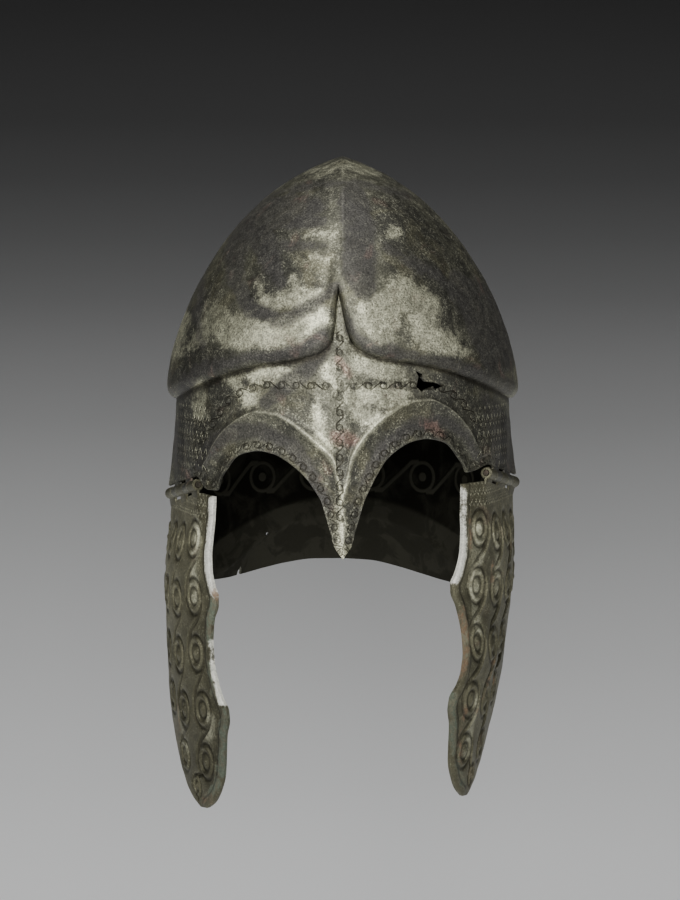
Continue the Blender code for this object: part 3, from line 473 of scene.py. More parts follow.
def smooth_column(values, at):
    """Monotone cubic through a table's column at fractional row numbers."""
    values = np.asarray(values, dtype=float)
    step = np.diff(values)
    slope = np.zeros_like(values)
    product = step[:-1] * step[1:]
    total = step[:-1] + step[1:]
    keep = product > 0
    slope[1:-1][keep] = 2.0 * product[keep] / total[keep]
    slope[0] = step[0]
    slope[-1] = step[-1]
    row = np.clip(np.floor(at).astype(int), 0, len(values) - 2)
    f = at - row
    low = values[row]
    high = values[row + 1]
    return (
        low * (1 + 2 * f) * (1 - f) ** 2
        + slope[row] * f * (1 - f) ** 2
        + high * f * f * (3 - 2 * f)
        + slope[row + 1] * f * f * (f - 1)
    )


def crown_shares(level):
    """Half-width and half-depth shares: (1 - rise^a)^(1/b), with rise the share of the crown's height."""
    rise = np.clip((level - BELT_LEVEL) / CROWN_HEIGHT, 0.0, 1.0)
    across = (1.0 - rise**CROWN_RISE_POWER) ** (1.0 / CROWN_PLAN_POWER)
    along = (1.0 - rise**CROWN_LONG_RISE) ** (1.0 / CROWN_LONG_POWER)
    return across, along


def crown_point(turn, level):
    """Crown: x = half-width sin(turn), y = -half-depth cos(turn), z = level."""
    across, along = crown_shares(level)
    angle = np.radians(turn)
    depth = np.where(np.cos(angle) > 0, FRONT_DEPTH, BACK_DEPTH)
    x = BOWL_WIDTH / 2 * across * np.sin(angle)
    y = -depth * along * np.cos(angle)
    return np.stack([x, y, level + 0 * x], axis=-1)


def wall_sizes(turn, level):
    """Half-width and half-depth of the wall below the step, with the temples' flare and the nape's hollow."""
    across, along = crown_shares(level)
    down = np.clip(BELT_LEVEL - level, 0.0, None)
    half = BOWL_WIDTH / 2 * across - BELT_STEP
    half = half + TEMPLE_FLARE * np.clip(down / (TEMPLE_REACH * NASAL_DROP), 0, 1) ** TEMPLE_POWER
    front = FRONT_DEPTH * along - BELT_STEP
    front = front + NASAL_FORWARD * np.clip(down / NASAL_DROP, 0, 2) ** NASAL_POWER
    back = BACK_DEPTH * along - BELT_STEP - NAPE_HOLLOW * ease(down / NAPE_DROP)
    depth = np.where(np.cos(np.radians(turn)) > 0, front, back)
    return half, depth


def wall_point(turn, level, scale=1.0):
    """Wall: x = scale half-width sin(turn), y = -scale half-depth cos(turn), z = level."""
    half, depth = wall_sizes(turn, level)
    angle = np.radians(turn)
    x = half * scale * np.sin(angle)
    y = -depth * scale * np.cos(angle)
    return np.stack([x, y, level + 0 * x], axis=-1)


def to_wall(point):
    """Turn, level and scale of a point given in space."""
    turn = 90.0 if point[0] >= 0 else -90.0
    for _ in range(2):
        half, depth = wall_sizes(turn, point[2])
        turn = math.degrees(math.atan2(point[0] / half, -point[1] / depth))
    return turn, point[2], math.hypot(point[0] / half, point[1] / depth)


def hinge_frame(side):
    """Front end, unit axis, upward direction, outward normal and length of a hinge."""
    sink = SIDE_SINK if side < 0 else 0.0
    ends = []
    for turn, drop in ((HINGE_FRONT_TURN, HINGE_FRONT_DROP), (HINGE_BACK_TURN, HINGE_BACK_DROP)):
        outer = wall_point(side * turn, BELT_LEVEL - drop - sink)
        outward = np.array([math.sin(math.radians(side * turn)), -math.cos(math.radians(side * turn)), 0.0])
        ends.append(outer - outward * WALL / 2)
    front, back = ends
    length = float(np.linalg.norm(back - front))
    axis = (back - front) / length
    up = np.array([0.0, 0.0, 1.0]) - axis[2] * axis
    up = up / np.linalg.norm(up)
    out = np.cross(axis, up)
    if out[0] * side < 0:
        out = -out
    return front, axis, up, out, length


def bowl_lines(side):
    """Edge, fold, belt and roll lines on one side, as arrays of turn, level and scale."""
    front, axis, up, out, length = hinge_frame(side)
    edge, fold, belt, roll = [], [], [], []
    for row in FACE:
        sink = SIDE_SINK * row[8] if side < 0 else 0.0
        lean = PEAK_LEAN * max(row[5] - LEAN_START, 0.0) / (1.0 - LEAN_START)
        edge.append((side * row[0], BELT_LEVEL - NASAL_DROP * row[1] - sink, 1.0))
        fold.append((side * row[2], BELT_LEVEL - NASAL_DROP * row[3] - min(sink, SIDE_SINK), 1.0))
        rise = BELT_LEVEL + PEAK_RISE * row[5]
        belt.append((side * row[4] - lean, rise, 1.0))
        roll.append((side * (row[4] + row[6]) - lean, rise + BELT_ROLL * row[7], 1.0))
    for row in HINGE_SIDE:
        sink = SIDE_SINK * row[5] if side < 0 else 0.0
        point = front + axis * length * row[0] + up * (KNUCKLE_RADIUS + HINGE_WINDOW) + out * WALL / 2
        turn, level, scale = to_wall(point)
        edge.append((turn, level, scale))
        fold_scale = 1.0 - HINGE_FOLD_SHARE * (1.0 - scale)
        fold.append((side * row[1], BELT_LEVEL - NASAL_DROP * row[2] - sink, fold_scale))
        rise = BELT_LEVEL + PEAK_RISE * row[4]
        belt.append((side * row[3], rise, 1.0))
        roll.append((side * row[3], rise + BELT_ROLL, 1.0))
    for row in NAPE:
        sink = SIDE_SINK * row[6] if side < 0 else 0.0
        flare = 1.0 + GUARD_FLARE * row[2] / BACK_DEPTH
        edge.append((side * row[0], BELT_LEVEL - GUARD_DROP * row[1] - sink, flare))
        fold.append((side * row[3], BELT_LEVEL - NAPE_DROP * row[4] - max(sink, 0.0), 1.0))
        rise = BELT_LEVEL + PEAK_RISE * HINGE_SIDE[-1][4]
        belt.append((side * row[5], rise, 1.0))
        roll.append((side * row[5], rise + BELT_ROLL, 1.0))
    return [np.array(line) for line in (edge, fold, belt, roll)]


def bowl_surface(side, station, row):
    """Plain outer surface of the bowl at a station round it and a row up it.

    Rows 0 to 2 run straight from the edge over the fold to the belt, 2 to 3 turn a quarter circle out to the crown,
    and 3 to 4 climb the crown to its top. Also gives the lengths of the first two spans.
    """
    lines = bowl_lines(side)
    edge, fold, belt, roll = ([smooth_column(line[:, i], station) for i in range(3)] for line in lines)
    low = np.clip(row, 0, 1)
    mid = np.clip(row - 1, 0, 1)
    shape = [e + (f - e) * low + (b - f) * mid for e, f, b in zip(edge, fold, belt)]
    wall = wall_point(shape[0], shape[1], shape[2])
    arc = np.radians(np.clip(row - 2, 0, 1) * 90.0)
    turn = belt[0] + (roll[0] - belt[0]) * (1 - np.cos(arc))
    level = belt[1] + (roll[1] - belt[1]) * (1 - np.cos(arc))
    out = np.sin(arc)[..., None]
    rolled = wall_point(turn, level) * (1 - out) + crown_point(turn, level) * out
    climb = np.clip(row - 3, 0, 1)
    rise = np.clip((roll[1] - BELT_LEVEL) / CROWN_HEIGHT, 0, 1)
    start = np.arcsin(rise ** (CROWN_RISE_POWER / 2))
    angle = start + (math.pi / 2 - start) * climb
    height = BELT_LEVEL + CROWN_HEIGHT * np.sin(angle) ** (2 / CROWN_RISE_POWER)
    height = np.where(climb > 0, height, roll[1])
    even = side * 180.0 * station / (stations() - 1)
    turn = roll[0] + (even - roll[0]) * ease(climb * CROWN_TURN_RATE)
    crown = crown_point(turn, height)
    tall = row[..., None]
    points = np.where(tall <= 2, wall, np.where(tall <= 3, rolled, crown))
    lower = np.linalg.norm(wall_point(*edge) - wall_point(*fold), axis=-1)
    upper = np.linalg.norm(wall_point(*fold) - wall_point(*belt), axis=-1)
    return points, lower, upper


def stations():
    """Number of stations on one side of the bowl."""
    return len(FACE) + len(HINGE_SIDE) + len(NAPE)


def bowl_relief(station, row, points, lower, upper, ridge):
    """Height of the relief: keel e^(-|x|/w), brow ridge and nasal ridge e^(-(d/w)^2), less the brow hollow sin^2."""
    x = points[..., 0]
    z = points[..., 2]
    away = np.where(row < 1, (1 - row) * lower, (row - 1) * upper)
    brow = ease((len(FACE) - 1 + BROW_FADE - 1 - station) / BROW_FADE) * (row < 2)
    half = BROW_CREST_HALF * (BROW_OUTER + (BROW_INNER - BROW_OUTER) * ease(1 - station / BROW_INNER_END))
    crest = np.exp(-((away / half) ** 2)) * brow * (0.45 + 0.55 * ease(1.3 - station / BROW_INNER_END))
    lift = ridge * (0.5 * crest + 0.5 * brow * np.exp(-((away / BROW_RIDGE_HALF) ** 2)))
    begun = ease(station / HOLLOW_START - 1)
    lift = lift - BROW_HOLLOW * np.sin(math.pi * np.clip(row, 0, 1)) ** 2 * brow * begun
    nose = np.exp(-((x / NASAL_RIDGE_HALF) ** 2)) * (row < 2) * (station < stations() / 2)
    below = ease((BELT_LEVEL - z + PEAK_RISE * NOSE_START) / (PEAK_RISE * (2 - NOSE_START)))
    strength = NOSE_TOP + (1 - NOSE_TOP) * below
    crossing = 1 - RIDGE_CROSSING * np.exp(-((away / BROW_RIDGE_HALF) ** 2))
    lift = lift + NASAL_RIDGE * nose * strength * crossing
    keel = np.exp(-np.abs(x) / KEEL_HALF) * ease((row - 3) / KEEL_FADE)
    return lift + KEEL_HEIGHT * keel, crest


def hammering(points, depth):
    """Soft dents of the hammered sheet: a sum of seeded sine waves of 14 to 45 mm."""
    rng = np.random.default_rng(HAMMER_SEED)
    total = np.zeros(points.shape[:-1])
    for wave in (0.045, 0.038, 0.029, 0.024, 0.019, 0.016, 0.014):
        heading = rng.normal(size=(2, 3))
        heading = heading / np.linalg.norm(heading, axis=1)[:, None]
        phase = rng.uniform(0, 2 * math.pi, 2)
        first, second = (np.sin(points @ heading[i] * 2 * math.pi / wave + phase[i]) for i in range(2))
        total = total + first * second
    return depth * total / 3.0


def grid_faces(rows, columns):
    """Triangles of a closed ring of columns with a fan to one last point."""
    r, c = np.meshgrid(np.arange(rows - 1), np.arange(columns), indexing="ij")
    a = (r * columns + c).ravel()
    b = (r * columns + (c + 1) % columns).ravel()
    d, e = a + columns, b + columns
    top = (rows - 1) * columns
    ring = np.arange(columns)
    fan = np.stack([top + ring, top + (ring + 1) % columns, np.full(columns, top + columns)], axis=1)
    return np.concatenate([np.stack([a, b, e], axis=1), np.stack([a, e, d], axis=1), fan])


def vertex_normals(points, faces):
    """Area-weighted normals of a triangle mesh."""
    a, b, c = (points[faces[:, i]] for i in range(3))
    cross = np.cross(b - a, c - a)
    normals = np.zeros_like(points)
    for i in range(3):
        np.add.at(normals, faces[:, i], cross)
    return normals / np.linalg.norm(normals, axis=1)[:, None]


def polyline_place(points, line):
    """Length along a line and signed distance from it for each point, by the nearest point on its segments."""
    line = np.asarray(line)
    best = np.full(len(points), 1e9)
    arc = np.zeros(len(points))
    offset = np.zeros(len(points))
    start = 0.0
    for a, b in zip(line[:-1], line[1:]):
        span = b - a
        length = float(np.linalg.norm(span))
        along = np.clip((points - a) @ span / length**2, 0, 1)
        apart = points - (a + along[:, None] * span)
        distance = np.linalg.norm(apart, axis=1)
        near = distance < best
        best = np.where(near, distance, best)
        arc = np.where(near, start + along * length, arc)
        if line.shape[1] == 2:
            sign = np.sign(span[0] * apart[:, 1] - span[1] * apart[:, 0])
            offset = np.where(near, distance * sign, offset)
        start += length
    return arc, (offset if line.shape[1] == 2 else best)


def stroke_depth(points, strokes):
    """Depth inside brush strokes: the nearest stroke's radius less the distance to its line."""
    best = np.full(len(points), -1.0)
    for stroke in strokes:
        table = np.array(stroke, dtype=float) * MM
        for a, b in zip(table[:-1], table[1:]):
            span = b[:2] - a[:2]
            along = np.clip((points - a[:2]) @ span / (span @ span), 0, 1)
            distance = np.linalg.norm(points - (a[:2] + along[:, None] * span), axis=1)
            best = np.maximum(best, a[2] + (b[2] - a[2]) * along - distance)
    return best


def make_mesh(name, points, faces, uvs, tags):
    """Mesh from arrays, with corner UV maps and a material number for each face."""
    mesh = bpy.data.meshes.new(name)
    faces = np.asarray(faces, dtype=np.int32)
    mesh.vertices.add(len(points))
    mesh.vertices.foreach_set("co", np.asarray(points, dtype=np.float32).ravel())
    mesh.loops.add(faces.size)
    mesh.loops.foreach_set("vertex_index", faces.ravel())
    mesh.polygons.add(len(faces))
    mesh.polygons.foreach_set("loop_start", np.arange(0, faces.size, 3, dtype=np.int32))
    mesh.polygons.foreach_set("material_index", np.asarray(tags, dtype=np.int32))
    mesh.update(calc_edges=True)
    for uv_name, values in uvs.items():
        layer = mesh.uv_layers.new(name=uv_name)
        layer.data.foreach_set("uv", np.asarray(values, dtype=np.float32)[faces.ravel()].ravel())
    mesh.validate()
    return mesh


def as_object(mesh):
    """Object at the origin that shows a mesh."""
    ob = bpy.data.objects.new(mesh.name, mesh)
    bpy.context.scene.collection.objects.link(ob)
    return ob


def prism(outline, centre, across, up, out, depth):
    """Triangulated solid over an outline, running both ways along the outward direction."""
    outline = np.asarray(outline)
    flat = centre + outline[:, :1] * across + outline[:, 1:] * up
    points = np.concatenate([flat - out * depth, flat + out * depth])
    n = len(outline)
    made = delaunay_2d_cdt([Vector(p) for p in outline / MM], [], [list(range(n))], 1, 1e-6)
    caps = np.array([tuple(f) for f in made[2]])
    i = np.arange(n)
    j = (i + 1) % n
    sides = np.concatenate([np.stack([i, j, n + j], axis=1), np.stack([i, n + j, n + i], axis=1)])
    return points, np.concatenate([caps[:, ::-1], caps + n, sides])


def cut(ob, tools):
    """Takes the solids of the tools away from an object's mesh."""
    points, faces, count = [], [], 0
    for tool_points, tool_faces in tools:
        points.append(tool_points)
        faces.append(tool_faces + count)
        count += len(tool_points)
    faces = np.concatenate(faces)
    mesh = make_mesh("cutter", np.concatenate(points), faces, {}, np.zeros(len(faces)))
    face_outward(mesh)
    tool = as_object(mesh)
    modifier = ob.modifiers.new("cut", "BOOLEAN")
    modifier.operation = "DIFFERENCE"
    modifier.solver = "EXACT"
    modifier.object = tool
    bpy.context.view_layer.update()
    graph = bpy.context.evaluated_depsgraph_get()
    result = bpy.data.meshes.new_from_object(ob.evaluated_get(graph))
    ob.modifiers.remove(modifier)
    old = ob.data
    ob.data = result
    result.name = ob.name
    bpy.data.meshes.remove(old)
    bpy.data.objects.remove(tool, do_unlink=True)


def face_outward(mesh):
    """Turns every face of a closed mesh outward."""
    bm = bmesh.new()
    bm.from_mesh(mesh)
    bmesh.ops.recalc_face_normals(bm, faces=bm.faces)
    bm.to_mesh(mesh)
    bm.free()


def add_shell(mesh, extra):
    """Adds the faces of another mesh and removes that mesh."""
    bm = bmesh.new()
    bm.from_mesh(mesh)
    bm.from_mesh(extra)
    bm.to_mesh(mesh)
    bm.free()
    bpy.data.meshes.remove(extra)


def shade(mesh, angle):
    """Smooth shading that keeps edges sharper than an angle in degrees."""
    mesh.shade_smooth()
    mesh.set_sharp_from_angle(angle=math.radians(angle))


def store(mesh, name, values):
    """Keeps one number for each vertex."""
    layer = mesh.attributes.new(name, "FLOAT", "POINT")
    layer.data.foreach_set("value", np.asarray(values, dtype=np.float32))


def corner_values(mesh, name):
    """Values of a UV map, corner by corner."""
    layer = mesh.uv_layers[name]
    flat = np.empty(len(layer.data) * 2, dtype=np.float32)
    layer.data.foreach_get("uv", flat)
    return flat.reshape(-1, 2)


def positions(mesh):
    """Vertex positions as an array."""
    flat = np.empty(len(mesh.vertices) * 3, dtype=np.float32)
    mesh.vertices.foreach_get("co", flat)
    return flat.reshape(-1, 3).astype(float)


def knuckle(side, index, reach):
    """Round bored barrel of one knuckle with its strap; reach is positive up, negative down."""
    front, axis, up, out, length = hinge_frame(side)
    step = length / KNUCKLE_COUNT
    start = index * step + CLEARANCE / 2
    end = (index + 1) * step - CLEARANCE / 2
    way = up if reach > 0 else -up
    half = math.asin(STRAP_THICKNESS / 2 / KNUCKLE_RADIUS)
    n = KNUCKLE_SIDES
    angles = np.linspace(half, 2 * math.pi - half, n)
    rings = []
    bevel = KNUCKLE_BEVEL
    for along, less in ((start, bevel), (start + bevel, 0), (end - bevel, 0), (end, bevel)):
        base = front + axis * along
        outer = base + (KNUCKLE_RADIUS - less) * (np.cos(angles)[:, None] * way + np.sin(angles)[:, None] * out)
        thick = STRAP_THICKNESS / 2 - less / 2
        top = np.array([base + abs(reach) * way + share * STRAP_END * thick * out for share in (-1, 1)])
        bore = base + (PIN_RADIUS + CLEARANCE) * (np.cos(angles)[:, None] * way + np.sin(angles)[:, None] * out)
        rings.append(np.concatenate([outer, top, bore]))
    size = 2 * n + 2
    loop = list(range(n + 2))
    inner = list(range(n + 2, size))
    faces = []
    for k in range(3):
        for ring in (loop, inner):
            for i, a in enumerate(ring):
                b = ring[(i + 1) % len(ring)]
                faces.append((k * size + a, k * size + b, (k + 1) * size + b))
                faces.append((k * size + a, (k + 1) * size + b, (k + 1) * size + a))
    for k in (0, 3):
        base = k * size
        for i in range(n - 1):
            faces.append((base + i, base + i + 1, base + n + 3 + i))
            faces.append((base + i, base + n + 3 + i, base + n + 2 + i))
        faces.append((base + 0, base + n + 2, base + size - 1))
        faces.append((base + 0, base + size - 1, base + n - 1))
        faces.append((base + 0, base + n - 1, base + n))
        faces.append((base + 0, base + n, base + n + 1))
    points = np.concatenate(rings)
    mesh = make_mesh("knuckle", points, faces, {}, np.zeros(len(faces)))
    face_outward(mesh)
    return mesh


def damage_tools():
    """Solids that cut the break in the brow, the tear in the neck guard's edge and its pinhole."""
    up = np.array([0.0, 0.0, 1.0])
    edge, fold, belt, roll = bowl_lines(-1)
    places = [("break", wall_point(BREAK_TURN, BELT_LEVEL - BREAK_DROP), BREAK_TURN)]
    for kind, line, turn in (("tear", edge, TEAR_TURN), ("hole", fold, PINHOLE_TURN)):
        back = line[len(FACE) + len(HINGE_SIDE) + GUARD_ROW :]
        order = np.argsort(back[:, 0])
        level = float(np.interp(turn, back[order, 0], back[order, 1]))
        scale = float(np.interp(turn, back[order, 0], back[order, 2]))
        places.append((kind, wall_point(turn, level, scale), turn))
    rounded = [(math.cos(a) / 2, math.sin(a) / 2) for a in np.linspace(0, 2 * math.pi, 20, endpoint=False)]
    shapes = {
        "break": (BREAK, BREAK_WIDTH, BREAK_WIDTH),
        "tear": (TEAR, TEAR_WIDTH, TEAR_DEPTH),
        "hole": (rounded, PINHOLE_WIDTH, PINHOLE_WIDTH),
    }
    tools = []
    for kind, centre, turn in places:
        out = np.array([math.sin(math.radians(turn)), -math.cos(math.radians(turn)), 0.0])
        outline, wide, high = shapes[kind]
        tools.append(prism(np.array(outline) * (wide, high), centre, np.cross(up, out), up, out, CUT_DEPTH))
    return tools


def bowl_mesh(form):
    """Closed fine mesh of the bowl before its damage, with its UV maps."""
    low, mid, roll, crown = (np.linspace(0, 1, count + 1) for count in SPAN_ROWS)
    low = 1 - (1 - low) ** 1.4
    mid = 1 + 0.55 * mid[1:] ** 1.3 + 0.45 * ease(mid[1:])
    rows = np.concatenate([low, mid, 2 + roll[1:], 3 + crown[1:-1]])
    steps = np.arange(0, stations() - 1 + COLUMN_STEP / 2, COLUMN_STEP)
    parts = []
    for side, at in ((1, steps), (-1, steps[-2:0:-1])):
        s, r = np.meshgrid(at, rows)
        p, lower, upper = bowl_surface(side, s, r)
        lift, crest = bowl_relief(s, r, p, lower, upper, form.brow_ridge)
        parts.append((p, s, r, lift, crest, np.full(s.shape, float(side))))
    p, s, r, lift, crest, sides = (np.concatenate([part[i] for part in parts], axis=1) for i in range(6))
    count, columns = s.shape
    flat = np.concatenate([p.reshape(-1, 3), [[0.0, 0.0, BELT_LEVEL + CROWN_HEIGHT]]])
    lift = np.append(lift.ravel(), KEEL_HEIGHT)
    struck = ease(r * 4) * ease(4 * np.abs(r - 2) + 0.2)
    lift = lift + hammering(flat, form.hammer_depth) * np.append(struck.ravel(), 1)
    faces = grid_faces(count, columns)
    outer = flat + vertex_normals(flat, faces) * lift[:, None]
    normals = vertex_normals(outer, faces)
    inner = outer - normals * WALL
    middle = (outer[:columns] + inner[:columns]) / 2
    below = outer[:columns] - outer[columns : 2 * columns]
    middle = middle + below / np.linalg.norm(below, axis=1)[:, None] * form.edge_round
    total = len(outer)
    c = np.arange(columns)
    n = (c + 1) % columns
    lip = []
    for first, second in ((c * 0, 2 * total), (2 * total, total)):
        a = c + first
        b = n + first
        d = c + second
        e = n + second
        lip += [np.stack([a, d, e], axis=1), np.stack([a, e, b], axis=1)]
    lip = np.concatenate(lip)
    points = np.concatenate([outer, inner, middle])
    every = np.concatenate([faces, faces[:, ::-1] + total, lip])
    tags = np.concatenate([np.zeros(len(faces)), np.ones(len(faces)), np.zeros(len(lip))])
    edge_uv = np.tile([0.0, FAR], (len(points), 1))
    form_uv = np.zeros((len(points), 2))
    form_uv[: total - 1, 0] = crest.ravel()
    # Dark line in the crease under the belt's roll: grime, and painted shade of the undercut
    groove = np.exp(-(((r - 1.97) / 0.05) ** 2)) * (0.25 + 0.75 * ease((s - 2) / 6))
    form_uv[: total - 1, 1] = groove.ravel()
    face_end = len(FACE) + 2
    for side in (1, -1):
        near = np.flatnonzero((((sides == side) | (s == 0)) & (r < 2) & (s < face_end)).ravel())
        line = wall_point(*[smooth_column(col, np.arange(0, face_end, 0.25)) for col in bowl_lines(side)[0].T])
        arc, away = polyline_place(outer[near], line)
        edge_uv[near, 0] = arc * side
        edge_uv[near, 1] = away
    uvs = {"edge": edge_uv, "form": form_uv}
    return make_mesh("bowl_dressed", points, every, uvs, tags)


def bowl_zone_depth(points, strokes):
    """Depth inside the colour zones (stains, light patches and painted shade): those of the front, and their mirror
    image behind, each dying out over the sides.
    """
    x, y, z = points.T
    turned = ease(y / ZONE_FADE)
    front = stroke_depth(np.stack([x, z], axis=1), strokes) - ZONE_LOSS * turned
    back = stroke_depth(np.stack([-x * BACK_STRETCH, z - BACK_SHIFT], axis=1), strokes)
    return np.maximum(front, back - ZONE_LOSS * (1 - turned))


def build_bowl(form, materials):
    """Bowl with its damage cut and its knuckles added."""
    ob = as_object(bowl_mesh(form))
    for material in materials:
        ob.data.materials.append(material)
    cut(ob, damage_tools())
    reach = KNUCKLE_RADIUS + HINGE_WINDOW + STRAP_BITE
    for side in (1, -1):
        for index in (1, 3):
            add_shell(ob.data, knuckle(side, index, reach))
    mesh = ob.data
    points = positions(mesh)
    store(mesh, "dark_depth", bowl_zone_depth(points, DARK_STROKES))
    store(mesh, "light_depth", bowl_zone_depth(points, LIGHT_STROKES))
    store(mesh, "red_depth", bowl_zone_depth(points, RED_STROKES))
    arc, across = polyline_place(points[:, [0, 2]], np.array(FOREHEAD_CHAIN) * MM)
    across = np.where((points[:, 1] < 0) & (points[:, 2] < BELT_LEVEL + CHAIN_TOP), across, FAR)
    store(mesh, "chain_along", arc)
    store(mesh, "chain_across", across)
    store(mesh, "turn", np.degrees(np.arctan2(points[:, 0], -points[:, 1])))
    shade(mesh, 42)
    return ob


def plan_table(side):
    """Turns and lengths of arc along the cheekpiece's plan curve, from its front corner."""
    corner = CHEEK_FRONT_LEFT if side > 0 else CHEEK_FRONT_RIGHT
    half, depth = wall_sizes(PLAN_TURN, BELT_LEVEL - HINGE_FRONT_DROP)
    turns = np.linspace(corner / 2, corner + 90.0, 400)
    angle = np.radians(turns)
    x = half * np.sin(angle)
    y = -depth * np.cos(angle)
    arc = np.concatenate([[0.0], np.cumsum(np.hypot(np.diff(x), np.diff(y)))])
    return turns, arc - np.interp(corner, turns, arc), half, depth


def chord_scale(turn, half, depth):
    """Factor that brings the plan curve onto the straight line of the hinge."""
    ends = np.radians([HINGE_FRONT_TURN, HINGE_BACK_TURN])
    ax, ay = half * np.sin(ends[0]), -depth * np.cos(ends[0])
    bx, by = half * np.sin(ends[1]), -depth * np.cos(ends[1])
    angle = np.radians(turn)
    x, y = half * np.sin(angle), -depth * np.cos(angle)
    cross = (bx - ax) * y - (by - ay) * x
    factor = (ay * (bx - ax) - ax * (by - ay)) / np.where(np.abs(cross) < 1e-9, 1e-9, cross)
    inside = (turn > HINGE_FRONT_TURN) & (turn < HINGE_BACK_TURN)
    return np.where(inside, factor, 1.0)


def cheek_point(side, back, down):
    """Middle surface of a cheekpiece: the wall's ellipse, drawn in to the hinge line at the top, bulging below it
    and curling in towards the tip as the share of its length to the power CURL_POWER."""
    turns, arc, half, depth = plan_table(side)
    turn = np.interp(back, arc, turns)
    front, axis, up, out, length = hinge_frame(side)
    slope = -axis[2] / math.hypot(axis[0], axis[1])
    reach = np.interp(turn, [HINGE_FRONT_TURN, HINGE_BACK_TURN], [0.0, 1.0])
    below = np.clip(down - slope * length * reach, 0.0, None)
    free = ease(below / (CHORD_FADE * CHEEK_LENGTH))
    chord = 1.0 - (1.0 - chord_scale(turn, half, depth)) * (1.0 - free)
    share = np.clip(down / CHEEK_LENGTH, 0.0, None)
    swell = CHEEK_BULGE * free - CHEEK_CURL * share**CURL_POWER
    twist = CHEEK_TWIST if side > 0 else 0.0
    ahead = 1.0 - ease(TWIST_WIDTH / 7 + back / (TWIST_WIDTH * CHEEK_WIDTH))
    open_out = twist * ease((share - TWIST_START) / TWIST_SPAN) * ahead
    angle = np.radians(turn)
    x = ((half - WALL / 2) * chord + swell) * np.sin(angle)
    y = -((depth - WALL / 2) * chord + swell) * np.cos(angle)
    return np.stack([side * (x + open_out), y, front[2] - down], axis=-1)


def cheek_normal(side, back, down):
    """Outward normal of the middle surface, from differences."""
    d = NORMAL_STEP
    across = cheek_point(side, back + d, down) - cheek_point(side, back - d, down)
    along = cheek_point(side, back, down + d) - cheek_point(side, back, down - d)
    normal = np.cross(across, along) * side
    normal = normal / np.linalg.norm(normal, axis=-1)[..., None]
    return normal * np.sign(normal[..., 0] * side)[..., None]


def cheek_outline(side, fine):
    """Smooth outline of a cheekpiece as lengths back and down, and how many of its points are the front edge."""
    size = (CHEEK_WIDTH, CHEEK_LENGTH)
    curves = []
    for table in (CHEEK_FRONT, CHEEK_REAR):
        table = np.array(table) * size
        at = np.linspace(0, len(table) - 1, (len(table) - 1) * fine + 1)
        curves.append(np.stack([smooth_column(table[:, i], at) for i in range(2)], axis=1))
    turns, arc, half, depth = plan_table(side)
    hinge, axis, up, out, length = hinge_frame(side)
    slope = -axis[2] / math.hypot(axis[0], axis[1])
    plan = length * math.hypot(axis[0], axis[1])
    gap = (KNUCKLE_RADIUS + HINGE_WINDOW) / up[2]
    share = np.linspace(1 + TOP_OVERRUN, -TOP_OVERRUN, 8 * fine)
    point = hinge + axis * length * share[:, None]
    turn = np.degrees(np.arctan2(np.abs(point[:, 0]) / half, -point[:, 1] / depth))
    top = np.stack([np.interp(turn, turns, arc), slope * plan * share + gap], axis=1)
    return np.concatenate([curves[0], curves[1], top]), len(curves[0])


def inside_outline(points, outline):
    """Whether points lie in a closed outline, and their distance from it."""
    inside = np.zeros(len(points), dtype=bool)
    nearest = np.full(len(points), 1e9)
    for a, b in zip(outline, np.roll(outline, -1, axis=0)):
        crosses = (a[1] > points[:, 1]) != (b[1] > points[:, 1])
        span = b[1] - a[1] if abs(b[1] - a[1]) > 1e-12 else 1e-12
        at = a[0] + (points[:, 1] - a[1]) / span * (b[0] - a[0])
        inside ^= crosses & (points[:, 0] < at)
        along = np.clip(((points - a) @ (b - a)) / max((b - a) @ (b - a), 1e-12), 0, 1)
        nearest = np.minimum(nearest, np.linalg.norm(points - (a + along[:, None] * (b - a)), axis=1))
    return inside, nearest


def circles(side):
    """Centre and radius of every embossed circle, row by row, in metres."""
    rows = []
    for row, shift in zip(CIRCLE_ROWS, ROW_SHIFTS[side]):
        rows.append([(b * CHEEK_WIDTH + shift * MM, d * CHEEK_LENGTH, s * CIRCLE_RADIUS) for b, d, s in row])
    return rows


def running_lines(side):
    """Lines that swing from one side of each circle to the other side of the circle below it.

    Each is a cubic curve that leaves and arrives straight down: a(1-t)^3 + 3b(1-t)^2 t + 3c(1-t)t^2 + d t^3.
    """
    lines = []
    rows = circles(side)
    t = np.linspace(0, 1, 15)[:, None]
    for upper, lower in zip(rows[:-1], rows[1:]):
        for (back, down, radius), (next_back, next_down, next_radius) in zip(upper, lower):
            wide = side * GROOVE_SHARE * CIRCLE_SQUASH
            a = np.array([back + wide * radius, down])
            d = np.array([next_back - wide * next_radius, next_down])
            pull = np.array([0.0, 0.55 * (next_down - down)])
            b, c = a + pull, d - pull
            lines.append(a * (1 - t) ** 3 + 3 * b * (1 - t) ** 2 * t + 3 * c * (1 - t) * t**2 + d * t**3)
    return lines


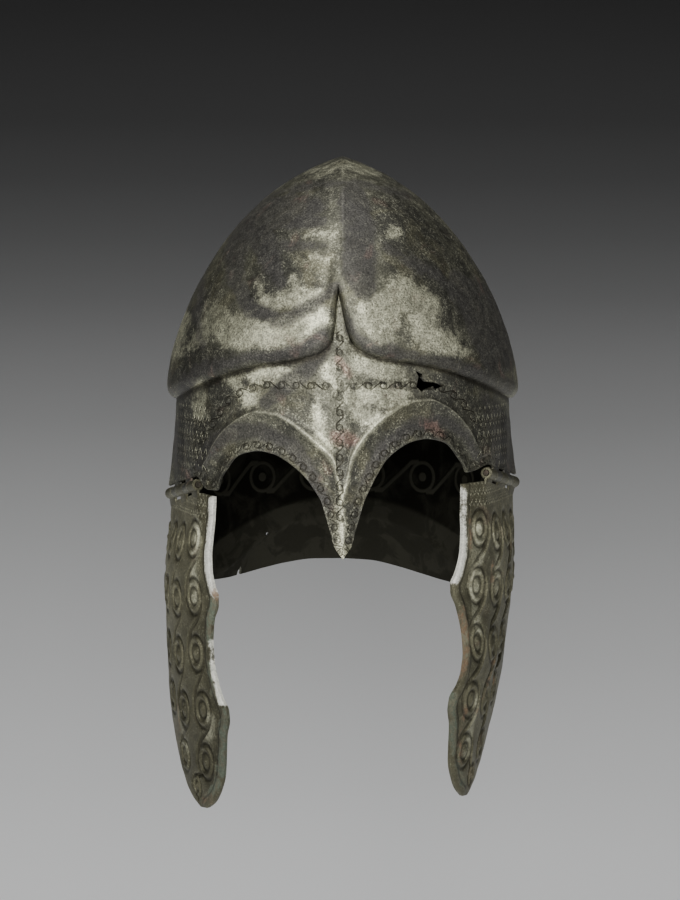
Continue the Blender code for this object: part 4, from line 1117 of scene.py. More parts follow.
def cheek_relief(side, place, edge_away, form):
    """Height of the relief in the plate's plane.

    The rim is raised to a smooth step. A circle is a groove, a broad ring, a second groove and a boss, each
    e^(-((r - c)/w)^2) of the share r of its radius. A running line is a groove with a low ridge on one side.
    """
    bead = 0.45 + 0.55 * np.sin(math.pi * np.clip(edge_away / RIM_WIDTH, 0, 1))
    rim = form.rim_rise * bead * (1 - ease((edge_away - RIM_WIDTH) / RIM_FOOT))
    circle = np.zeros(len(place))
    inside_circle = np.zeros(len(place))
    for row in circles(side):
        for back, down, radius in row:
            r = np.hypot((place[:, 0] - back) / CIRCLE_SQUASH, place[:, 1] - down) / radius
            height = sum(tall * np.exp(-(((r - at) / wide) ** 2)) for at, wide, tall in CIRCLE_PROFILE)
            circle = circle + np.where(r < 1.4, height, 0)
            inside_circle = np.maximum(inside_circle, 1 - ease((r - 0.9) / 0.16))
    groove = np.zeros(len(place))
    for line in running_lines(side):
        arc, offset = polyline_place(place, line)
        here = LINE_DEPTH * np.exp(-((offset / LINE_HALF) ** 2))
        here = here - LINE_RIDGE * np.exp(-(((offset + side * 2 * LINE_HALF) / LINE_HALF) ** 2))
        groove = np.where(np.abs(here) > np.abs(groove), here, groove)
    plate = circle - groove * (1 - inside_circle)
    return rim + form.circle_rise * plate * ease((edge_away - 0.8 * RIM_WIDTH) / RIM_FOOT)


def cheek_places(side):
    """Points of the fine mesh in the plate's plane: outline, rim lines, rings, tangents and a filling grid."""
    outline, fronts = cheek_outline(side, 6)
    edge = outline[:fronts]
    groups = []
    ahead = np.gradient(edge, axis=0)
    ahead = ahead / np.linalg.norm(ahead, axis=1)[:, None]
    across = np.stack([ahead[:, 1], -ahead[:, 0]], axis=1)
    for distance in (0.4 * RIM_WIDTH, RIM_WIDTH, RIM_WIDTH + RIM_FOOT / 2, RIM_WIDTH + RIM_FOOT):
        line = edge + across * distance
        inside, away = inside_outline(line, outline)
        groups.append(line[inside & (away > 0.93 * distance)])
    for row in circles(side):
        for back, down, radius in row:
            groups.append(np.array([[back, down]]))
            for share in CIRCLE_RINGS:
                count = max(10, int(52 * share))
                angle = 2 * math.pi * (np.arange(count) + 0.5 * (count % 2)) / count
                spread = np.stack([CIRCLE_SQUASH * np.cos(angle), np.sin(angle)], axis=1) * radius * share
                spread = spread + (back, down)
                inside, away = inside_outline(spread, outline)
                groups.append(spread[inside & (away > RIM_WIDTH + RIM_FOOT + 0.4 * MM)])
    for line in running_lines(side):
        arc = np.append(0, np.cumsum(np.linalg.norm(np.diff(line, axis=0), axis=1)))
        even = np.linspace(0, arc[-1], int(arc[-1] / (1.1 * MM)))
        line = np.stack([np.interp(even, arc, line[:, i]) for i in range(2)], axis=1)
        ahead = np.gradient(line, axis=0)
        ahead = ahead / np.linalg.norm(ahead, axis=1)[:, None]
        across = np.stack([ahead[:, 1], -ahead[:, 0]], axis=1)
        for share in (0, -1, 1, -2, 2, -3, 3):
            groups.append(line + across * share * LINE_HALF)
    step = PLATE_STEP
    backs = np.arange(-0.15 * CHEEK_WIDTH, CHEEK_WIDTH, step)
    downs = np.arange(0, CHEEK_LENGTH, step)
    grid = np.stack(np.meshgrid(backs, downs, indexing="ij"), axis=-1).reshape(-1, 2)
    grid = grid + np.random.default_rng(PLATE_SEED).uniform(-0.25, 0.25, grid.shape) * step
    groups.append(grid)
    kept = [outline]
    for group in groups:
        margin = 0.75 * step if group is grid else 0.42 * MM
        inside, away = inside_outline(group, outline)
        group = group[inside & (away > 0.45 * MM)]
        settled = np.concatenate(kept)
        near = np.array([np.min(np.hypot(*(settled - p).T)) for p in group]) if len(group) else np.zeros(0)
        kept.append(group[near > margin])
    return np.concatenate(kept), len(outline), edge


def cheek_mesh(side, form):
    """Closed fine mesh of a cheekpiece with its UV maps."""
    places, n, edge = cheek_places(side)
    ring = list(range(n))
    edges = [(i, (i + 1) % n) for i in range(n)]
    made = delaunay_2d_cdt([Vector(p) for p in places / MM], edges, [ring], 1, 1e-7)
    faces = np.array([tuple(f) for f in made[2]])
    places = np.array([tuple(p) for p in made[0]]) * MM
    edge_away = polyline_place(np.c_[places, np.zeros(len(places))], np.c_[edge, np.zeros(len(edge))])[1]
    lift = cheek_relief(side, places, edge_away, form)
    middle = cheek_point(side, places[:, 0], places[:, 1])
    normal = cheek_normal(side, places[:, 0], places[:, 1])
    dents = hammering(middle, form.hammer_depth)
    outer = middle + normal * (CHEEK_WALL / 2 + lift + dents)[:, None]
    inner = middle - normal * (CHEEK_WALL / 2 - 0.8 * lift - dents)[:, None]
    total = len(places)
    i = np.arange(n)
    j = (i + 1) % n
    lip = np.concatenate([np.stack([i, i + total, j + total], axis=1), np.stack([i, j + total, j], axis=1)])
    every = np.concatenate([faces, faces[:, ::-1] + total, lip])
    tags = np.concatenate([np.zeros(len(faces)), np.ones(len(faces)), np.zeros(len(lip))])
    height = np.clip(lift / form.circle_rise, -1, 1)
    uvs = {
        "plate": np.tile(places, (2, 1)),
        "form": np.stack([np.tile(height, 2), np.tile(edge_away, 2)], axis=1),
    }
    return make_mesh("cheekpiece", np.concatenate([outer, inner]), every, uvs, tags)


def build_cheekpiece(name, side, form, materials):
    """Cheekpiece with its slit and its three knuckles; the left one is also swung on its hinge."""
    mesh = cheek_mesh(side, form)
    face_outward(mesh)
    mesh.name = name
    ob = as_object(mesh)
    for material in materials:
        mesh.materials.append(material)
    back, down = np.array(SLIT_BACK * CHEEK_WIDTH), np.array(SLIT_DOWN * CHEEK_LENGTH)
    facing = cheek_normal(side, back, down)
    along = np.cross(facing, [0.0, 0.0, 1.0])
    along = along / np.linalg.norm(along)
    outline = np.array(SLIT) * (SLIT_WIDTH, SLIT_LENGTH)
    centre = cheek_point(side, back, down)
    cut(ob, [prism(outline, centre, along, np.cross(along, facing), facing, CUT_DEPTH / 2)])
    points = positions(ob.data)
    front, axis, up, out, length = hinge_frame(side)
    owner = np.empty(len(ob.data.loops), dtype=np.int32)
    ob.data.loops.foreach_get("vertex_index", owner)
    place = np.zeros((len(points), 2))
    place[owner] = corner_values(ob.data, "plate")
    reach = -(KNUCKLE_RADIUS + HINGE_WINDOW + STRAP_BITE)
    for index in (0, 2, 4):
        add_shell(ob.data, knuckle(side, index, reach))
    added = len(ob.data.vertices) - len(points)
    for zone, strokes in zone_strokes(side).items():
        store(ob.data, zone, np.append(stroke_depth(place, strokes), np.full(added, -1.0)))
    form_values = corner_values(ob.data, "form")
    form_values[len(owner) :] = (0.0, FAR)
    ob.data.uv_layers["form"].data.foreach_set("uv", form_values.astype(np.float32).ravel())
    if side > 0:
        middle = Vector(front + axis * length / 2)
        turn = Matrix.Rotation(math.radians(SWING) * side, 4, Vector(axis))
        ob.data.transform(Matrix.Translation(middle) @ turn @ Matrix.Translation(-middle))
    shade(ob.data, 38)
    return ob


def zone_strokes(side):
    """Brush strokes of one cheekpiece's colour zones, by the name of their attribute."""
    # The bright strokes lay painted highlights on the front rim
    bright, light, green, brown = RIM_HIGHLIGHT_RIGHT, LIGHT_RIGHT, GREEN_RIGHT, BROWN_RIGHT
    if side > 0:
        bright, light, green, brown = RIM_HIGHLIGHT_LEFT, LIGHT_LEFT, GREEN_LEFT, BROWN_LEFT
    return {"rim_highlight_depth": bright, "light_depth": light, "green_depth": green, "brown_depth": brown}


class Value:
    """Output of a node, with the usual arithmetic."""

    def __init__(self, sheet, socket):
        self.sheet = sheet
        self.socket = socket

    def __add__(self, other):
        return self.sheet.math("ADD", self, other)

    def __sub__(self, other):
        return self.sheet.math("SUBTRACT", self, other)

    def __rsub__(self, other):
        return self.sheet.math("SUBTRACT", other, self)

    def __mul__(self, other):
        return self.sheet.math("MULTIPLY", self, other)

    def __truediv__(self, other):
        return self.sheet.math("DIVIDE", self, other)

    def __neg__(self):
        return self * -1.0

    def __abs__(self):
        return self.sheet.math("ABSOLUTE", self)

    def __lt__(self, other):
        return self.sheet.math("LESS_THAN", self, other)

    def __gt__(self, other):
        return self.sheet.math("GREATER_THAN", self, other)


class Sheet:
    """Short calls that add nodes to one node tree."""

    def __init__(self, tree):
        self.tree = tree

    def node(self, kind, sockets=None, **settings):
        """New node with its settings, and values or links for its named inputs."""
        made = self.tree.nodes.new(kind)
        for key, value in settings.items():
            setattr(made, key, value)
        for key, value in (sockets or {}).items():
            self.put(made.inputs[key], value)
        return made

    def put(self, socket, value):
        """Links a value to an input, or sets the input where the value is a number or a colour."""
        if isinstance(value, Value):
            self.tree.links.new(value.socket, socket)
        elif socket.type == "RGBA":
            socket.default_value = (*value, 1)
        else:
            socket.default_value = value

    def math(self, operation, *values):
        return Value(self, self.node("ShaderNodeMath", dict(enumerate(values)), operation=operation).outputs[0])

    def most(self, first, *others):
        """Largest of some values."""
        for other in others:
            first = self.math("MAXIMUM", first, other)
        return first

    def step(self, value, low, high):
        """0 below low, 1 above high, smooth between."""
        sockets = {"Value": value, "From Min": low, "From Max": high}
        return Value(self, self.node("ShaderNodeMapRange", sockets, interpolation_type="SMOOTHSTEP").outputs[0])

    def noise(self, where, scale, detail=3.0, roughness=0.55, distortion=0.0):
        sockets = {"Vector": where, "Scale": scale, "Detail": detail, "Roughness": roughness, "Distortion": distortion}
        return Value(self, self.node("ShaderNodeTexNoise", sockets).outputs["Fac"])

    def cells(self, where, scale):
        return Value(self, self.node("ShaderNodeTexVoronoi", {"Vector": where, "Scale": scale}).outputs["Distance"])

    def mix(self, factor, a, b):
        """Colour a where the factor is 0, colour b where it is 1."""
        made = self.node("ShaderNodeMix", {"Factor": factor}, data_type="RGBA")
        self.put(made.inputs["A"], a)
        self.put(made.inputs["B"], b)
        return Value(self, made.outputs["Result"])

    def blend(self, factor, a, b):
        """Number a where the factor is 0, number b where it is 1."""
        made = self.node("ShaderNodeMix", {"Factor": factor, "A": a, "B": b}, data_type="FLOAT")
        return Value(self, made.outputs["Result"])

    def attribute(self, name):
        return Value(self, self.node("ShaderNodeAttribute", attribute_name=name).outputs["Fac"])

    def parts(self, vector):
        return [Value(self, out) for out in self.node("ShaderNodeSeparateXYZ", {0: vector}).outputs]

    def uv(self, name):
        return self.parts(Value(self, self.node("ShaderNodeUVMap", uv_map=name).outputs[0]))[:2]

    def coords(self):
        return Value(self, self.node("ShaderNodeTexCoord").outputs["Object"])

    def group(self, group, **values):
        made = self.node("ShaderNodeGroup", values, node_tree=group)
        return {out.name: Value(self, out) for out in made.outputs}

    def finish(self, color, metallic, roughness, height):
        """Joins values to the material's shader, with the height as its bump in millimetres, and gives the shader."""
        shader = next(n for n in self.tree.nodes if n.type == "BSDF_PRINCIPLED")
        bump = self.node("ShaderNodeBump", {"Distance": MM, "Height": height})
        self.put(shader.inputs["Base Color"], color)
        self.put(shader.inputs["Metallic"], metallic)
        self.put(shader.inputs["Roughness"], roughness)
        self.put(shader.inputs["Normal"], Value(self, bump.outputs["Normal"]))
        return shader


def new_group(name, inputs, outputs):
    """Empty shader node group, as the group, its sheet, its inputs by name and its output sockets by name."""
    group = bpy.data.node_groups.new(name, "ShaderNodeTree")
    for socket, default in inputs.items():
        made = group.interface.new_socket(socket, in_out="INPUT", socket_type="NodeSocketFloat")
        made.default_value = default
    for socket in outputs:
        kind = "NodeSocketColor" if socket == "Color" else "NodeSocketFloat"
        group.interface.new_socket(socket, in_out="OUTPUT", socket_type=kind)
    sheet = Sheet(group)
    start = sheet.node("NodeGroupInput")
    end = sheet.node("NodeGroupOutput")
    return group, sheet, {out.name: Value(sheet, out) for out in start.outputs}, end.inputs


def new_material(name):
    """Material and the sheet for its nodes."""
    material = bpy.data.materials.new(name)
    material.use_nodes = True
    return material, Sheet(material.node_tree)


def chain_group():
    """Engraved chain: domed rings at an even pitch along a line, joined by strokes that swing from side to side."""
    inputs = {
        "Along": 0.0,
        "Across": 0.0,
        "Pitch": 7.6 * MM,
        "Radius": 1.6 * MM,
        "Line": 0.40 * MM,
        "Slant": 0.9,
        "Reach": 1.0,
    }
    group, s, i, o = new_group("Engraved chain", inputs, ("Mask", "Dome"))
    turns = i["Along"] / i["Pitch"]
    centre = (s.math("FRACT", turns) - 0.5) * i["Pitch"]
    link = (s.math("FRACT", turns + 0.5) - 0.5) * i["Pitch"]
    distance = s.math("SQRT", centre * centre + i["Across"] * i["Across"])
    ring = 1.0 - s.step(abs(distance - i["Radius"]) / i["Line"], 0.3, 1.0)
    swing = s.most(s.math("MINIMUM", link * i["Slant"], i["Radius"]), -i["Radius"])
    stroke = 1.0 - s.step(abs(i["Across"] - swing) / (i["Line"] * 1.5), 0.3, 1.0)
    stroke = stroke * (distance > i["Radius"]) * (abs(link) < i["Pitch"] * 0.42)
    s.put(o["Mask"], s.most(ring, stroke * i["Reach"]))
    s.put(o["Dome"], 1.0 - s.step(distance / i["Radius"], 0.1, 0.95))
    return group


def zigzag_group():
    """Rows of engraved zigzag with a small ring in each bay, and the burr that each stroke throws up beside it."""
    inputs = {"Along": 0.0, "Across": 0.0, "Pitch": 5.2 * MM, "Row": 8.6 * MM, "Line": 0.45 * MM}
    group, s, i, o = new_group("Engraved zigzag", inputs, ("Mask", "Burr"))
    v = (s.math("FRACT", i["Across"] / i["Row"]) - 0.5) * i["Row"]
    turns = s.math("FRACT", i["Along"] / i["Pitch"])
    apart = v - (abs(turns * 2.0 - 1.0) - 0.5) * (i["Row"] * 0.66)
    line = 1.0 - s.step(abs(apart) / i["Line"], 0.9, 2.2)
    u = (turns - 0.5) * i["Pitch"]
    low = v - i["Row"] * 0.14
    distance = s.math("SQRT", u * u + low * low)
    ring = 1.0 - s.step(abs(distance - 1.0 * MM) / i["Line"], 0.5, 1.2)
    s.put(o["Mask"], s.most(line, ring))
    burr = abs(apart - i["Line"] * 3.2) / i["Line"]
    s.put(o["Burr"], 1.0 - s.step(burr, 0.6, 2.0))
    return group


def patina_group(look):
    """Tinned bronze: mottled grey-olive metal with silvery and purple-brown zones, pits, grain and corrosion, with
    painted shade and painted highlights laid in where its inputs call for them.
    """
    inputs = dict.fromkeys(("Light", "Dark", "Red", "Bright", "Green", "Brown"), -1.0)
    inputs |= {"Warmth": 0.0, "Ridge": 0.0, "Groove": 0.0, "Gain": 1.0}
    group, s, i, o = new_group("Tinned bronze", inputs, ("Color", "Metallic", "Roughness", "Height"))
    where = s.coords()
    broad = s.noise(where, 16.0, 4.0, 0.55, 0.6)
    swirl = s.noise(where, 48.0, 5.0, 0.6, 1.6)
    fine = s.noise(where, 240.0, 5.0, 0.7)
    grain = s.noise(where, 1100.0, 2.0, 0.7)
    wobble = (swirl - 0.5) * (11.0 * MM) + (fine - 0.5) * (6.0 * MM) + (grain - 0.5) * (3.0 * MM)

    def zone(name, low, high):
        """Mask of a zone whose edge the noise makes ragged, between two depths in mm."""
        return s.step(i[name] + wobble, low * MM, high * MM)

    light = zone("Light", -2.6, 2.4) * (s.step(s.noise(where, 90.0, 5.0, 0.7, 0.8), 0.36, 0.60) * 0.6 + 0.4)
    dark = zone("Dark", -1.6, 1.8)
    red = zone("Red", -1.6, 2.4)
    bright = zone("Bright", -1.4, 0.8)
    green = zone("Green", -1.6, 1.2)
    brown = zone("Brown", -1.6, 1.4)
    patch = s.step(broad * 0.6 + swirl * 0.4, 0.42, 0.60)
    warm = s.step(s.noise(where, 34.0, 4.0, 0.6, 0.8), 0.50, 0.66) * 0.5
    pink = s.step(s.noise(where, 60.0, 3.0, 0.6, 0.5), 0.60, 0.72) * 0.22
    dust = s.step(grain, 0.52, 0.70) * s.step(fine, 0.42, 0.62) * (0.45 - dark * 0.35)
    spot = (1.0 - s.step(s.cells(where, 520.0), 0.16, 0.36)) * s.step(swirl, 0.44, 0.60)
    flecks = s.step(fine, 0.38, 0.60) * 0.80
    tone = s.mix(patch, look.shade, look.metal)
    tone = s.mix(s.most(i["Warmth"], warm), tone, s.mix(patch, look.olive_shade, look.olive))
    layers = (
        (light * look.light_amount, look.silver),
        # Dark zones: stains, and painted shade where the strokes stand for it
        (dark * look.dark_amount, look.stain_and_shade),
        (s.most(pink, red * 0.6), look.copper),
        (dust, look.silver),
        (spot * 0.6, look.shade),
        # Painted highlight, partly wear: crests, burrs and raised relief turn silver
        (s.step(i["Ridge"], 0.15, 1.0) * s.blend(swirl, 0.25, 0.95), look.silver),
        # Painted highlight: the front rim strip of a cheekpiece turns near white
        (bright * 0.95, look.bright),
        (green * flecks, look.verdigris),
        (brown * flecks, look.earth),
        # Grime in grooves and engraving, and painted shade in the crease under the belt
        (i["Groove"] * 0.85, look.grime_and_shade),
    )
    for mask, colour_over in layers:
        tone = s.mix(mask, tone, colour_over)
    pitted = s.blend(light, 0.64, 0.46)
    gain = s.step(grain, 0.34, 0.60) * (1.26 - pitted) + pitted
    gain = gain * (s.step(fine, 0.32, 0.68) * 0.36 + 0.82)
    # Painted shade: the Gain input darkens the colour, except on the rim strip
    gain = s.blend(i["Warmth"] * 0.65, gain, 0.92) * s.blend(bright, i["Gain"], 1.0)
    scaled = s.node("ShaderNodeVectorMath", {0: tone, "Scale": gain}, operation="SCALE")
    s.put(o["Color"], Value(s, scaled.outputs[0]))
    crust = s.most(green, brown)
    metallic = s.blend(bright, s.blend(dark * 0.4, 0.93, 0.6), 0.35)
    s.put(o["Metallic"], s.blend(crust, metallic, 0.12))
    rough = s.blend(light, 0.50, 0.43)
    for mask, value in ((dark, 0.56), (bright, 0.36), (crust, 0.78)):
        rough = s.blend(mask, rough, value)
    s.put(o["Roughness"], rough + (fine - 0.5) * 0.26)
    s.put(o["Height"], grain * 0.05 + fine * 0.15 - spot * 0.12 + crust * fine * 0.45)
    return group


def bowl_material(groups, look):
    """Outside of the bowl, with its engraving."""
    material, s = new_material("bowl_outside")
    x, y, z = s.parts(s.coords())
    edge_along, edge_away = s.uv("edge")
    crest, crease = s.uv("form")
    front = y < -FRONT_FROM
    beside = x - NOSE_CHAIN_SIDE
    forehead = s.group(
        groups["chain"],
        Along=s.attribute("chain_along"),
        Across=s.attribute("chain_across"),
        Slant=s.math("SIGN", beside) * 0.8,
    )
    nose = s.group(groups["chain"], Along=z, Across=beside, Slant=1.0)
    window = (z < NOSE_CHAIN_TOP) * (z > NOSE_CHAIN_FOOT)
    rim = s.group(
        groups["chain"],
        Along=edge_along,
        Across=edge_away - RIM_CHAIN_INSET,
        Pitch=RIM_CHAIN_PITCH,
        Slant=1.1,
        Reach=s.blend(abs(edge_along) > RIM_CHAIN_WORN, 0.75, 1.0),
    )
    turn = abs(s.attribute("turn"))
    temple = s.group(groups["zigzag"], Along=turn * TEMPLE_STRETCH, Across=z)
    place = (turn > TEMPLE_FROM) * (turn < TEMPLE_TO) * (z < BELT_LEVEL - 7 * MM) * (edge_away > 5.5 * MM) * front

    def shown(output):
        """One output of the three chains together, on the front alone."""
        return s.most(forehead[output], nose[output] * window, rim[output]) * front

    worn = s.step(s.noise(s.coords(), 70.0, 3.0, 0.6), 0.34, 0.52) * 0.6 + 0.4
    lines = s.most(shown("Mask") * worn, temple["Mask"] * place)
    burr = temple["Burr"] * place
    # Painted shade on the wall above the hinge
    aside = (z < BELT_LEVEL - 10 * MM) * (edge_away > FAR / 2) * front
    out = s.group(
        groups["patina"],
        Light=s.attribute("light_depth"),
        Dark=s.attribute("dark_depth"),
        Red=s.attribute("red_depth"),
        # Painted highlight, partly wear, on the brow crest and the temple burrs
        Ridge=s.most(crest * 0.8, burr * 0.72),
        # Engraved lines darken with grime; the belt's crease darkens with grime and painted shade
        Groove=s.most(lines * 0.9, crease),
        Gain=s.blend(aside, 1.0, SHADOW_TONE),
    )
    height = out["Height"] + (s.most(shown("Dome"), burr * 0.8) - lines) * look.engraving_depth
    s.finish(out["Color"], out["Metallic"], out["Roughness"], height)
    return material


def plate_material(groups, look):
    """Outside of a cheekpiece, with rows of ticks under its hinge."""
    material, s = new_material("cheekpiece_outside")
    z = s.parts(s.coords())[2]
    back, down = s.uv("plate")
    height, edge_away = s.uv("form")
    ticks = s.group(groups["zigzag"], Along=back, Across=down, Pitch=3.4 * MM, Row=5.6 * MM, Line=0.35 * MM)
    window = (down < TICKS_FOOT) * (down > TICKS_TOP) * (edge_away > RIM_WIDTH + RIM_FOOT)
    lines = ticks["Mask"] * window
    burr = ticks["Burr"] * window
    foot = 1.0 - s.step(abs(edge_away - (RIM_WIDTH + RIM_FOOT)), 0.1 * MM, 1.1 * MM)
    low = 1.0 - s.step(height, -0.45, -0.05)
    ridge = s.step(height, 0.25, 0.95) * s.step(edge_away, RIM_WIDTH, RIM_WIDTH + RIM_FOOT)
    # Painted shade: the cheekpiece darkens towards its tip
    gain = s.blend(s.step(-z, SHADE_TOP, SHADE_FOOT), 1.0, FOOT_TONE)
    out = s.group(
        groups["patina"],
        Light=s.attribute("light_depth"),
        # Painted highlight on the front rim strip
        Bright=s.blend(edge_away < RIM_WIDTH + 0.3 * MM, -1.0, s.attribute("rim_highlight_depth")),
        Green=s.attribute("green_depth"),
        Brown=s.attribute("brown_depth"),
        Warmth=0.85,
        # Painted highlight, partly wear, on the raised relief and the burrs of the ticks
        Ridge=s.most(ridge * 0.14, burr * 0.9),
        Groove=s.most(lines * 0.6, s.most(foot, low) * 0.7),
        # Painted shade on the hinge knuckles
        Gain=s.blend(edge_away > FAR / 2, gain, SHADOW_TONE),
    )
    height = out["Height"] + (burr * 0.6 - lines) * look.engraving_depth
    s.finish(out["Color"], out["Metallic"], out["Roughness"], height)
    return material


def inside_material(name, groups, look):
    """Rough inside of the sheet, dark and painted near black as painted shade, with a row of rings and running lines
    pressed into the nape.
    """
    material, s = new_material(name)
    where = s.coords()
    x, y, z = s.parts(where)
    chain = s.group(
        groups["chain"],
        Along=s.math("ARCTAN2", x, y) * RING_SWEEP,
        Across=z - RING_LEVEL,
        Pitch=RING_PITCH,
        Radius=RING_RADIUS,
        Line=1.6 * MM,
        Slant=0.9,
    )
    back = y > RING_FROM
    rings = s.most(chain["Mask"], s.step(chain["Dome"], 0.75, 0.9)) * back
    mottle = s.step(s.noise(where, 60.0, 4.0, 0.6, 0.6), 0.44, 0.66)
    foot = s.step(-z - x * x * RING_FOOT_BEND, RING_FOOT, RING_FOOT + 4 * MM) * back
    lit = s.most(mottle * 0.4, rings, foot * (mottle + 0.6))
    fine = s.noise(where, 420.0, 4.0, 0.65)
    # Painted shade: the inside is laid in near black
    color = s.mix(lit, look.inside, look.inside_light)
    shader = s.finish(color, 0.0, fine * 0.3 + 0.6, fine * 0.3 + rings * 0.6)
    shader.inputs["Specular IOR Level"].default_value = 0.06
    return material


def pin_material(look):
    """Brown bronze of the hinge pins with turning marks and dirt."""
    material, s = new_material("pin_bronze_aged")
    mottle = s.noise(s.coords(), 260.0, 4.0, 0.6)
    s.finish(s.mix(s.step(mottle, 0.4, 0.62), look.grime_and_shade, look.pin), 0.7, mottle * 0.4 + 0.3, mottle * 0.15)
    return material


def colour(label, text, value):
    """Colour property."""
    limits = {"min": 0.0, "max": 1.0}
    return FloatVectorProperty(name=label, description=text, default=value, subtype="COLOR", size=3, **limits)


def length(label, text, value, least=0.0):
    """Length property in metres."""
    settings = {"unit": "LENGTH", "subtype": "DISTANCE", "min": least, "precision": 4}
    return FloatProperty(name=label, description=text, default=value, **settings)


def share(label, text, value):
    """Property from 0 to 1."""
    return FloatProperty(name=label, description=text, default=value, min=0.0, max=1.0, subtype="FACTOR")


def power(label, text, value):
    """Power of a light in watts."""
    return FloatProperty(name=label, description=text, default=value, min=0.0, unit="POWER", subtype="POWER")


class HelmetForm(bpy.types.PropertyGroup):
    """Sizes of the relief that a user would change."""

    brow_ridge: length("Brow ridge", "Height of the ridge over the eyes", 2.0 * MM)
    rim_rise: length("Rim rise", "Height of the raised strip on a cheekpiece's front edge", 1.0 * MM)
    circle_rise: length("Circle rise", "Height of the embossed rings", 1.2 * MM)
    hammer_depth: length("Hammering", "Depth of the soft dents in the sheet", 0.22 * MM)
    edge_round: length("Edge rounding", "How far the sheet's edge bulges between its faces", 0.4 * MM)


class HelmetLook(bpy.types.PropertyGroup):
    """Colours and amounts of the patina, and of the painted shade and painted highlights."""

    metal: colour("Metal", "Main grey of the tinned bronze", (0.205, 0.202, 0.150))
    shade: colour("Shade", "Darker mottling of the metal", (0.098, 0.096, 0.079))
    olive: colour("Olive", "Olive-brown metal", (0.300, 0.286, 0.185))
    olive_shade: colour("Olive shade", "Darker mottling of the olive-brown metal", (0.200, 0.190, 0.122))
    # Silver also lays painted highlights, partly wear, on crests and burrs
    silver: colour("Silver", "Bright tinned patches and worn ridges", (0.76, 0.75, 0.545))
    # Near-white colour of the painted highlight on the cheekpieces' front rim strips
    bright: colour("Bright strip", "Polished strip on the front edges of the cheekpieces", (0.95, 0.94, 0.83))
    # Purple-grey of the stains and of the painted shade strokes
    stain_and_shade: colour("Stain", "Purple-grey stains", (0.070, 0.066, 0.062))
    copper: colour("Copper", "Reddish tints", (0.30, 0.185, 0.150))
    verdigris: colour("Verdigris", "Green corrosion", (0.135, 0.175, 0.125))
    earth: colour("Earth", "Orange-brown burial earth", (0.25, 0.145, 0.075))
    # Grime, also laid as painted shade in the crease under the belt
    grime_and_shade: colour("Grime", "Dirt in grooves and corners", (0.034, 0.030, 0.021))
    pin: colour("Pins", "Brown bronze of the hinge pins", (0.085, 0.065, 0.048))
    # Dark inside of the sheet, darkened further as painted shade
    inside: colour("Inside", "Dark inside of the sheet", (0.0045, 0.0042, 0.0026))
    inside_light: colour("Inside light", "Lighter mottling inside", (0.034, 0.033, 0.024))
    light_amount: share("Silver amount", "Strength of the light patches", 0.88)
    # The dark zones hold painted shade as well as stains
    dark_amount: share("Stain amount", "Strength of the dark stains", 0.78)
    engraving_depth: share("Engraving", "Depth of the engraved lines in millimetres", 0.35)


class HelmetStudio(bpy.types.PropertyGroup):
    """Camera, lights and backdrop."""

    distance: length("Camera distance", "From the camera to the helmet's middle", 1.9)
    elevation: FloatProperty(
        name="Camera elevation",
        description="Angle of the camera above the horizon",
        default=math.radians(4),
        subtype="ANGLE",
    )
    frame_height: length("Frame height", "Height that the picture takes in at the helmet", 0.486)
    aim_side: length("Aim aside", "How far the camera stands to the side", -0.0014, -1.0)
    aim_level: length("Aim level", "Level of the picture's middle", -0.1517, -1.0)
    key_power: power("Key light", "Power of the large front light", 11.0)
    fill_power: power("Fill light", "Power of the lights at the sides", 4.5)
    front_power: power("Front light", "Power of the light beside the camera", 18.5)
    backdrop_power: power("Backdrop light", "Power of the light on the backdrop", 22.0)
    floor: colour("Floor", "Pale floor and foot of the backdrop", (0.82, 0.825, 0.825))
    backdrop: colour("Backdrop", "Dark head of the backdrop", (0.0074, 0.0074, 0.0074))


def settings():
    """The three property groups of the scene."""
    scene = bpy.context.scene
    return scene.helmet_form, scene.helmet_look, scene.helmet_studio


def shared_groups(look):
    """The node groups, made once and found again by name."""
    names = {"chain": "Engraved chain", "zigzag": "Engraved zigzag", "patina": "Tinned bronze"}
    makers = {"chain": chain_group, "zigzag": zigzag_group, "patina": lambda: patina_group(look)}
    return {key: bpy.data.node_groups.get(name) or makers[key]() for key, name in names.items()}


class HELMET_OT_bowl(bpy.types.Operator):
    """Build the bowl with its relief, engraving and damage"""

    bl_idname = "helmet.bowl"
    bl_label = "Build Bowl"

    def execute(self, context):
        form, look, studio = settings()
        groups = shared_groups(look)
        ob = build_bowl(form, (bowl_material(groups, look), inside_material("bowl_inside", groups, look)))
        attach(ob, "helmet")
        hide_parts("bowl")
        return {"FINISHED"}


class HELMET_OT_cheekpieces(bpy.types.Operator):
    """Build both cheekpieces with their rims, circles and knuckles"""

    bl_idname = "helmet.cheekpieces"
    bl_label = "Build Cheekpieces"

    def execute(self, context):
        form, look, studio = settings()
        groups = shared_groups(look)
        outside = plate_material(groups, look)
        inside = inside_material("cheekpiece_inside", groups, look)
        for name, side in (("left", 1), ("right", -1)):
            ob = build_cheekpiece("cheekpiece_" + name + "_dressed", side, form, (outside, inside))
            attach(ob, "cheek_" + name)
            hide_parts("cheekpiece_" + name)
        return {"FINISHED"}


class HELMET_OT_pins(bpy.types.Operator):
    """Give the hinge pins their aged bronze"""

    bl_idname = "helmet.pins"
    bl_label = "Finish Hinge Pins"

    def execute(self, context):
        form, look, studio = settings()
        material = pin_material(look)
        for name in ("hinge_pin_left", "hinge_pin_right"):
            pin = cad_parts[name]
            pin.data.materials.clear()
            pin.data.materials.append(material)
        return {"FINISHED"}


